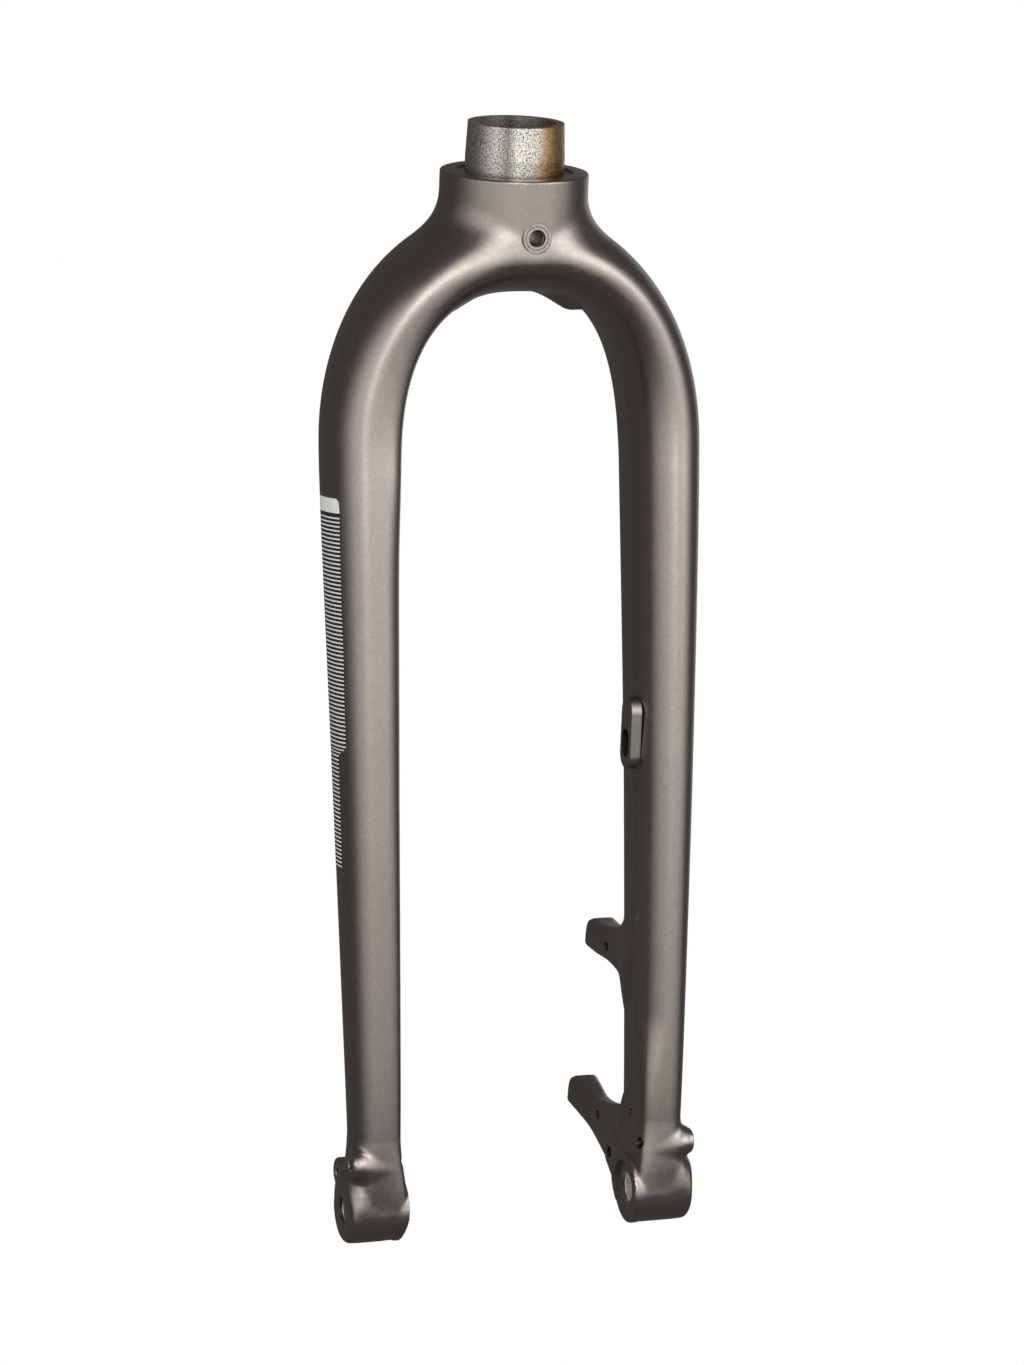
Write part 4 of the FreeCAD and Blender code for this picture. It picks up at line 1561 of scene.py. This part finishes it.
@dataclass
class ForkBody:
    """The moulded body with its holes."""

    form: BodyForm
    fittings: FittingSizes = field(default_factory=FittingSizes)
    tools: ToolSizes = field(default_factory=ToolSizes)
    stops: GridStops = field(default_factory=GridStops)

    def crown_seats(self) -> List[Form]:
        """Seats of the steerer and of the insert.

        Returns:
            Points and faces of each.
        """
        fit, tools = self.fittings, self.tools
        socket = [(-fit.socket_depth, fit.socket_radius), (-fit.step_depth, fit.socket_radius),
                  (-fit.step_depth, fit.step_radius), (tools.above_crown, fit.step_radius)]
        insert = [(-tools.past_face, fit.flange_radius), (0.0, fit.flange_radius), (0.0, fit.insert_radius),
                  (fit.insert_length - fit.flange, fit.insert_radius)]
        behind = (0, fit.insert_front + fit.flange, fit.insert_z)
        return [lathe(socket, (0, 0, 0), (0, 0, 1), tools.crown_sides),
                lathe(insert, behind, (0, 1, 0), tools.insert_sides)]

    def dropout_seats(self, side: Side) -> List[Form]:
        """Seats of the hub, the axle's sleeve and the eyelets in one dropout.

        Args:
            side: which leg.

        Returns:
            Points and faces of each.
        """
        end, tools = self.form.end, self.tools
        way = (side.value, 0, 0)
        over = end.face[side] + tools.past_face
        inner, outer = end.sleeve_pocket, end.bore[side]
        inside = end.face[side] - end.sleeve_lip
        if side is Side.DISC:
            inner, outer, inside = end.bore[side], end.sleeve_pocket, end.hub_face + end.sleeve_lip
        axle = [(tools.seat_start, end.seat_radius), (end.hub_face, end.seat_radius),
                (end.hub_face, inner), (inside, inner), (inside, outer), (over, outer)]
        forms = [lathe(axle, (0, end.axle_y, end.axle_z), way, tools.hub_sides)]
        for face, y, z in (end.front_eyelet, end.rear_eyelet):
            bore = [(tools.hole_start, end.eyelet_clear), (end.eyelet_inner, end.eyelet_clear),
                    (end.eyelet_inner, end.eyelet_pocket), (face + tools.past_face, end.eyelet_pocket)]
            forms.append(lathe(bore, (0, y, z), way, tools.bore_sides))
        return forms

    def turned_cuts(self) -> List[Form]:
        """Round seats and bores that don't run into each other, and the port's seat.

        Returns:
            Points and faces of each.
        """
        fit, end, tools = self.fittings, self.form.end, self.tools
        forms = self.crown_seats()
        for side in Side:
            forms += self.dropout_seats(side)
        for which in (0, 1):
            face, out, _ = self.form.post_frame(which)
            bore = [(-end.post_pocket_depth, end.post_pocket), (tools.past_face, end.post_pocket)]
            forms.append(lathe(bore, face, out, tools.bore_sides))
        forms.append(slot_form(fit.port_width, fit.port_height, fit.port_front - tools.into_gap,
                               fit.port_front + fit.port_thickness, fit.port_y, fit.port_z))
        return forms

    def other_cuts(self) -> List[Form]:
        """Ways in and holes that run into the round ones, and the collar's top edge.

        Returns:
            Points and faces of each.
        """
        fit, end, tools = self.fittings, self.form.end, self.tools
        forms = []
        for side in Side:
            start, stop = sorted((side.value * tools.slot_start, side.value * end.hub_face))
            y, r, low = end.axle_y, end.seat_radius, end.axle_z - tools.slot_drop
            outline = [(y + r, low), (y + r, end.axle_z), (y - r, end.axle_z), (y - r, low)]
            forms.append(prism(outline, start, stop))
        for which in (0, 1):
            face, out, up = self.form.post_frame(which)
            inward, rise = end.cross_places[which]
            bore = [(-tools.half_cross, end.cross_hole), (tools.half_cross, end.cross_hole)]
            middle = face - out * inward + up * rise
            forms.append(lathe(bore, middle, (1, 0, 0), tools.cross_sides))
        width, height, drop, depth = fit.port_hole
        forms.append(slot_form(width, height, fit.port_front - tools.into_gap, fit.port_front + depth,
                               fit.port_y, fit.port_z - drop))
        for drop in fit.vent_drops:
            bore = [(tools.hole_start, fit.vent_radius), (tools.vent_wall + fit.vent_depth, fit.vent_radius)]
            forms.append(lathe(bore, (0, fit.vent_y, fit.vent_z - drop), (1, 0, 0), tools.vent_sides))
        edge = list(self.form.crown.collar_edge)
        low, wide = edge[-1]
        edge += [(low + down, wide + out) for down, out in tools.trim]
        edge.append((tools.trim_top, edge[-1][1]))
        forms.append(lathe(edge, (0, 0, 0), (0, 0, 1), tools.crown_sides))
        return forms

    def build(self) -> bpy.types.Object:
        """Build the body and cut its holes.

        Returns:
            The object.
        """
        lines = [steps(stops) for stops in (self.stops.across, self.stops.ahead, self.stops.height)]
        body = Skin(self.form, *lines).build("moulded_body")
        cut(body, join_forms("turned_tools", self.turned_cuts()))
        cut(body, join_forms("other_tools", self.other_cuts()))
        soften(body)
        return body

    def make(self, paint: bpy.types.Material) -> None:
        """Build the body and dress it.

        Args:
            paint: its paint.
        """
        body = self.build()
        give(body, paint)
        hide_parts("fork_body")


@dataclass(frozen=True)
class PrintSizes:
    """Sizes of the print on the drive leg, in mm, and the colours of its inks."""

    cap_top: float = -126.5
    field_top: float = -132.0
    field_end: float = -275.0
    line_pitch: float = 1.65
    line_share: float = 0.36
    tilt: float = 0.13
    front: Tuple[Pair, ...] = (
        (-275.0, -36.3), (-229.0, -31.1), (-225.5, -36.6), (-206.3, -34.2), (-186.0, -31.9),
        (-166.4, -29.1), (-131.8, -24.9), (-126.5, -23.8))
    back_offset: float = 9.0
    cap_corner: float = 1.8
    height: float = 0.05
    line_height: float = 0.09
    columns: int = 14
    cap_rows: int = 16
    field_rows: int = 90
    outside: float = -85.0
    within: float = -62.0
    halvings: int = 30
    pale: Tuple[Colour, Colour] = ((0.80, 0.79, 0.77), (0.62, 0.61, 0.59))
    dark: Tuple[Colour, Colour] = ((0.012, 0.012, 0.013), (0.05, 0.05, 0.05))


@dataclass
class LegPrint:
    """Print on the drive leg: a pale cap and a dark field with pale lines."""

    form: BodyForm
    sizes: PrintSizes = field(default_factory=PrintSizes)

    def front_edge(self, z: Array) -> Array:
        """The y of the print's front edge at heights z."""
        rows = np.array(self.sizes.front)
        return np.interp(z, rows[:, 0], rows[:, 1])

    def back_edge(self, z: Array) -> Array:
        """The y of the print's back edge at heights z."""
        return self.form.lean(z, np.zeros_like(z)) + self.sizes.back_offset

    def on_leg(self, y: Array, z: Array, height: float) -> Array:
        """Points just over the leg's outer side.

        Args:
            y: places from front to back.
            z: heights.
            height: how far over the leg.

        Returns:
            Rows of x, y, z.
        """
        low, high = np.full_like(y, self.sizes.outside), np.full_like(y, self.sizes.within)
        for _ in range(self.sizes.halvings):
            middle = (low + high) / 2.0
            outside = self.form.distance(middle, y, z) > 0
            low = np.where(outside, middle, low)
            high = np.where(outside, high, middle)
        points = np.stack([high, y, z], axis=1)
        _, slopes = self.form.slope(points)
        return points + slopes / np.linalg.norm(slopes, axis=1, keepdims=True) * height

    def patch(self, top: float, bottom: float, rows: int, height: float, corner: float = 0.0) -> Form:
        """Sheet over the leg between two heights.

        Args:
            top: upper edge.
            bottom: lower edge.
            rows: rows of faces.
            height: how far over the leg.
            corner: radius of the front upper corner.

        Returns:
            Points in mm and faces.
        """
        columns = self.sizes.columns
        z = np.linspace(top, bottom, rows + 1)
        front, back = self.front_edge(z), self.back_edge(z)
        if corner:
            drop = np.clip(1.0 - (top - z) / corner, 0.0, 1.0)
            front = front + corner * (1.0 - np.sqrt(1.0 - drop ** 2))
        share = np.linspace(0.0, 1.0, columns + 1)
        y = front[:, None] + (back - front)[:, None] * share[None, :]
        heights = z[:, None] - self.sizes.tilt * (y - front[:, None])
        points = self.on_leg(y.ravel(), heights.ravel(), height)
        faces = []
        for i in range(rows):
            for j in range(columns):
                a = i * (columns + 1) + j
                faces.append((a, a + columns + 1, a + columns + 2, a + 1))
        return [tuple(p) for p in points], faces

    def build(self) -> Dict[str, bpy.types.Object]:
        """Build the cap, the field and the lines.

        Returns:
            The objects by name.
        """
        s = self.sizes
        cap = self.patch(s.cap_top, s.field_top, s.cap_rows, s.height, s.cap_corner)
        ground = self.patch(s.field_top, s.field_end, s.field_rows, s.height)
        lines = []
        z = s.field_top - s.line_pitch
        while z - s.line_pitch * s.line_share > s.field_end:
            lines.append(self.patch(z, z - s.line_pitch * s.line_share, 1, s.line_height))
            z -= s.line_pitch
        forms = {"print_cap": [cap], "print_field": [ground], "print_lines": lines}
        return {name: join_forms(name, form) for name, form in forms.items()}

    def make(self) -> None:
        """Build the print and dress it in its inks."""
        pale = PrintInk("pale_ink", *self.sizes.pale).make()
        dark = PrintInk("dark_ink", *self.sizes.dark).make()
        inks = {"print_cap": pale, "print_field": dark, "print_lines": pale}
        for name, piece in self.build().items():
            soften(piece)
            give(piece, inks[name])


@dataclass
class Fittings:
    """Bare metal pieces and the hose port, shown as they are built."""

    end: EndSizes
    fit: FittingSizes = field(default_factory=FittingSizes)
    bright: Colour = (0.78, 0.765, 0.74)
    plain: Colour = (0.52, 0.505, 0.48)
    insert: Colour = (0.56, 0.525, 0.49)
    bush: Colour = (0.66, 0.65, 0.56)
    bush_rough: Pair = (0.45, 0.6)
    bush_metallic: float = 0.35

    def sleeve(self, name: str, colour: Colour, y: float, z: float, **finish: object) -> bpy.types.Material:
        """Turned metal of a sleeve that runs across the fork at y and z."""
        return TurnedMetal(name, colour, (1.0, 0.0, 0.0), (0.0, y, z), **finish).make()

    def finishes(self, paint: bpy.types.Material) -> Dict[str, bpy.types.Material]:
        """Material of every piece that is shown as it is built.

        Args:
            paint: the body's paint.

        Returns:
            Materials by the piece's name.
        """
        end = self.end
        tilt = math.radians(end.post_tilt)
        out = (0.0, math.cos(tilt), math.sin(tilt))
        insert = KnurledMetal("knurled_insert", self.insert, (0.0, 1.0, 0.0), (0.0, 0.0, self.fit.insert_z))
        found = {
            "steerer_tube": RawTube().make(),
            "crown_insert": insert.make(),
            "axle_bush": self.sleeve("axle_bush_metal", self.bush, end.axle_y, end.axle_z,
                                     rough=self.bush_rough, metallic=self.bush_metallic),
            "axle_thread_sleeve": self.sleeve("axle_sleeve_metal", self.bright, end.axle_y, end.axle_z),
            "hose_port": paint,
        }
        for where, (_, y, z) in (("front", end.front_eyelet), ("rear", end.rear_eyelet)):
            metal = self.sleeve(where + "_eyelet_metal", self.plain, y, z)
            for leg in ("drive", "disc"):
                found[f"eyelet_sleeve_{where}_{leg}"] = metal
        post = (end.post_x, end.post_y, end.post_z)
        for which in ("lower", "upper"):
            metal = TurnedMetal("post_metal_" + which, self.plain, out, post)
            found["brake_post_sleeve_" + which] = metal.make()
        return found

    def make(self, paint: bpy.types.Material) -> None:
        """Give every carried-over piece its material.

        Args:
            paint: the body's paint.
        """
        for name, material in self.finishes(paint).items():
            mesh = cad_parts[name].data
            mesh.materials.clear()
            mesh.materials.append(material)
            LOG.info("%s: dressed", name)


@dataclass(frozen=True)
class RoomField:
    """Soft bright field of the room: its edges in degrees from straight ahead and above level."""

    left: float
    right: float
    side_soft: float
    low: float
    high: float
    rise_soft: float
    level: float


@dataclass(frozen=True)
class Lamp:
    """Soft flat lamp: its edges in degrees as the object sees it, and its level, where 1 is white."""

    name: str
    left: float
    right: float
    low: float
    high: float
    level: float


@dataclass(frozen=True)
class StudioSizes:
    """Places and strengths of the studio, in metres."""

    floor_z: float = -0.68
    floor_half: float = 9.0
    floor_white: Colour = (0.86, 0.855, 0.85)
    floor_rough: float = 0.9
    plain_radius: Pair = (0.34, 0.42)
    world: float = 0.40
    middle: Point = (0.0, -0.03, -0.22)
    room_sides: int = 48
    room_radius: float = 3.0
    room_top: float = 3.0
    room_gap: float = 0.002
    room_light: float = 0.095
    room_tint: Colour = (1.0, 0.975, 0.94)
    fields: Tuple[RoomField, ...] = (
        RoomField(-78.0, 58.0, 22.0, -12.0, 36.0, 16.0, 1.05),
        RoomField(-36.0, 58.0, 12.0, 4.0, 62.0, 12.0, 0.55),
        RoomField(-22.0, -2.0, 8.0, 10.0, 76.0, 10.0, 1.90),
        RoomField(32.0, 62.0, 10.0, 10.0, 46.0, 10.0, 1.50),
        RoomField(-106.0, -78.0, 12.0, -10.0, 32.0, 12.0, 0.25),
        RoomField(58.0, 80.0, 10.0, -22.0, 30.0, 12.0, 0.30),
        RoomField(126.0, 156.0, 8.0, -18.0, 12.0, 12.0, 0.50))
    lamp_distance: float = 1.35
    lamps: Tuple[Lamp, ...] = (
        Lamp("lamp_left", -80.0, -20.0, -12.0, 50.0, 1.3),
        Lamp("lamp_right", -10.0, 60.0, -12.0, 50.0, 1.3))


@dataclass(frozen=True)
class Viewpoint:
    """The photograph's viewpoint: angles in degrees, lens in mm, place in metres."""

    turn: float = 19.67
    drop: float = 13.98
    roll: float = 2.27
    lens: float = 140.58
    sensor: float = 36.0
    furthest: float = 100.0
    place: Point = (-0.7039, -1.9904, 0.3154)


@dataclass
class Studio:
    """Floor, room, lamps and camera."""

    sizes: StudioSizes = field(default_factory=StudioSizes)
    viewpoint: Viewpoint = field(default_factory=Viewpoint)

    def seen(self, tree: bpy.types.NodeTree) -> Socket:
        """1 for what the camera, gloss and glass see.

        Args:
            tree: the nodes to add to.

        Returns:
            The value.
        """
        path = tree.nodes.new("ShaderNodeLightPath")
        total = path.outputs["Is Camera Ray"]
        for name in ("Is Glossy Ray", "Is Transmission Ray"):
            total = math_node(tree, "MAXIMUM", total, path.outputs[name])
        return total

    def make_world(self) -> None:
        """White to the camera and to gloss, plainer as light."""
        world = bpy.data.worlds.new("studio")
        bpy.context.scene.world = world
        world.use_nodes = True
        tree = world.node_tree
        ground = tree.nodes["Background"]
        ground.inputs["Color"].default_value = (1.0, 1.0, 1.0, 1.0)
        strength = range_node(tree, self.seen(tree), 0.0, 1.0, self.sizes.world, 1.0)
        feed(tree, strength, ground.inputs["Strength"])

    def floor_material(self) -> bpy.types.Material:
        """Pale near the object, and as white as the world further out.

        Returns:
            The material.
        """
        s = self.sizes
        material = bpy.data.materials.new("studio_floor")
        material.use_nodes = True
        tree = material.node_tree
        surface = tree.nodes["Principled BSDF"]
        surface.inputs["Base Color"].default_value = (*s.floor_white, 1.0)
        surface.inputs["Roughness"].default_value = s.floor_rough
        surface.inputs["Specular IOR Level"].default_value = 0.0
        glow = tree.nodes.new("ShaderNodeEmission")
        glow.inputs["Strength"].default_value = 1.0
        place = tree.nodes.new("ShaderNodeTexCoord").outputs["Object"]
        flat = vector_node(tree, "MULTIPLY", place, (1.0, 1.0, 0.0))["Vector"]
        length = vector_node(tree, "LENGTH", flat)["Value"]
        edge = range_node(tree, length, *s.plain_radius, soft=True)
        both = tree.nodes.new("ShaderNodeMixShader")
        sources = (math_node(tree, "MULTIPLY", edge, self.seen(tree)), surface.outputs[0], glow.outputs[0])
        for source, socket in zip(sources, both.inputs):
            feed(tree, source, socket)
        feed(tree, both.outputs[0], tree.nodes["Material Output"].inputs["Surface"])
        return material

    def make_floor(self) -> None:
        """Floor that keeps the object's shadow."""
        h, z = self.sizes.floor_half / MM, self.sizes.floor_z / MM
        corners = [(-h, -h, z), (h, -h, z), (h, h, z), (-h, h, z)]
        floor = mesh_object("studio_floor", corners, [(0, 1, 2, 3)])
        floor.data.materials.append(self.floor_material())

    def between(self, tree: bpy.types.NodeTree, value: Socket, low: float, high: float,
                soft: float) -> Socket:
        """1 between two limits, with soft ends.

        Args:
            tree: the nodes to add to.
            value: what is compared, in radians.
            low: lower limit, in degrees.
            high: upper limit.
            soft: width of the soft ends.

        Returns:
            The share.
        """
        shares = []
        for edge, reach in ((low, soft), (high, -soft)):
            ends = math.radians(edge - reach), math.radians(edge + reach)
            shares.append(range_node(tree, value, *ends, soft=True))
        return math_node(tree, "MULTIPLY", *shares)

    def room_level(self, tree: bpy.types.NodeTree) -> Socket:
        """Brightness of the room by the direction from its middle.

        Args:
            tree: the nodes to add to.

        Returns:
            The brightness.
        """
        place = tree.nodes.new("ShaderNodeTexCoord").outputs["Object"]
        away = vector_node(tree, "SUBTRACT", place, self.sizes.middle)["Vector"]
        way = vector_node(tree, "NORMALIZE", away)["Vector"]
        parts = tree.nodes.new("ShaderNodeSeparateXYZ")
        feed(tree, way, parts.inputs[0])
        x, y, z = parts.outputs
        turn = math_node(tree, "ARCTAN2", x, math_node(tree, "MULTIPLY", y, -1.0))
        rise = math_node(tree, "ARCSINE", z)
        total = self.sizes.room_light
        for part in self.sizes.fields:
            across = self.between(tree, turn, part.left, part.right, part.side_soft)
            upright = self.between(tree, rise, part.low, part.high, part.rise_soft)
            level = math_node(tree, "MULTIPLY", math_node(tree, "MULTIPLY", across, upright), part.level)
            total = math_node(tree, "ADD", total, level)
        return total

    def room_material(self) -> bpy.types.Material:
        """Glow of the room.

        Returns:
            The material.
        """
        material = bpy.data.materials.new("studio_room")
        material.use_nodes = True
        tree = material.node_tree
        glow = tree.nodes.new("ShaderNodeEmission")
        glow.inputs["Color"].default_value = (*self.sizes.room_tint, 1.0)
        feed(tree, self.room_level(tree), glow.inputs["Strength"])
        feed(tree, glow.outputs[0], tree.nodes["Material Output"].inputs["Surface"])
        return material

    def make_room(self) -> None:
        """Dim room with soft bright fields round the object, which only gloss sees."""
        s = self.sizes
        low, high = (s.floor_z + s.room_gap) / MM, s.room_top / MM
        points, faces = [], []
        for k in range(s.room_sides):
            turn = 2.0 * math.pi * k / s.room_sides
            x, y = s.room_radius * math.cos(turn) / MM, s.room_radius * math.sin(turn) / MM
            points += [(x, y, low), (x, y, high)]
            after = (k + 1) % s.room_sides
            faces.append((2 * k, 2 * after, 2 * after + 1, 2 * k + 1))
        faces.append(tuple(range(0, 2 * s.room_sides, 2)))
        faces.append(tuple(range(1, 2 * s.room_sides, 2)))
        room = mesh_object("studio_room", points, faces)
        room.visible_camera = False
        room.visible_diffuse = False
        room.visible_shadow = False
        room.visible_transmission = False
        room.data.materials.append(self.room_material())

    def make_lamp(self, row: Lamp) -> None:
        """Soft flat lamp of even brightness, which gloss doesn't see.

        Args:
            row: its name, edges and level.
        """
        turn, rise = math.radians((row.left + row.right) / 2.0), math.radians((row.low + row.high) / 2.0)
        reach = self.sizes.lamp_distance
        way = Vector((math.sin(turn) * math.cos(rise), -math.cos(turn) * math.cos(rise), math.sin(rise)))
        data = bpy.data.lights.new(row.name, "AREA")
        data.shape = "RECTANGLE"
        data.size = 2.0 * reach * math.tan(math.radians(row.right - row.left) / 2.0) * math.cos(rise)
        data.size_y = 2.0 * reach * math.tan(math.radians(row.high - row.low) / 2.0)
        data.energy = math.pi * data.size * data.size_y * row.level
        lamp = bpy.data.objects.new(row.name, data)
        bpy.context.scene.collection.objects.link(lamp)
        lamp.location = Vector(self.sizes.middle) + way * reach
        lamp.rotation_euler = (-way).to_track_quat("-Z", "Y").to_euler()
        lamp.visible_camera = False
        lamp.visible_glossy = False

    def make_camera(self) -> None:
        """Camera at the photograph's viewing angle."""
        view = self.viewpoint
        turn, drop, roll = math.radians(view.turn), math.radians(view.drop), math.radians(view.roll)
        ahead = Vector((math.sin(turn) * math.cos(drop), math.cos(turn) * math.cos(drop), -math.sin(drop)))
        level = Vector((math.cos(turn), -math.sin(turn), 0.0))
        upright = level.cross(ahead)
        right = level * math.cos(roll) + upright * math.sin(roll)
        up = upright * math.cos(roll) - level * math.sin(roll)
        data = bpy.data.cameras.new("camera")
        data.lens = view.lens
        data.sensor_width = view.sensor
        data.sensor_fit = "AUTO"
        data.clip_end = view.furthest
        camera = bpy.data.objects.new("camera", data)
        bpy.context.scene.collection.objects.link(camera)
        matrix = Matrix.Identity(4)
        for row in range(3):
            matrix[row][0], matrix[row][1], matrix[row][2] = right[row], up[row], -ahead[row]
        matrix.translation = Vector(view.place)
        camera.matrix_world = matrix
        bpy.context.scene.camera = camera

    def make(self) -> None:
        """Build the whole studio."""
        self.make_world()
        self.make_floor()
        self.make_room()
        for lamp in self.sizes.lamps:
            self.make_lamp(lamp)
        self.make_camera()
        LOG.info("studio: %d lamps and %d bright fields", len(self.sizes.lamps), len(self.sizes.fields))


def main() -> None:
    """Build every piece in order, then the studio."""
    logging.basicConfig(level=logging.INFO, format="%(message)s")
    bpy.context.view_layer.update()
    form = BodyForm()
    paint = FlakePaint().make()
    ForkBody(form).make(paint)
    LegPrint(form).make()
    Fittings(form.end).make(paint)
    Studio().make()
    bpy.context.scene.view_settings.view_transform = "Standard"


if __name__ == "__main__":
    main()
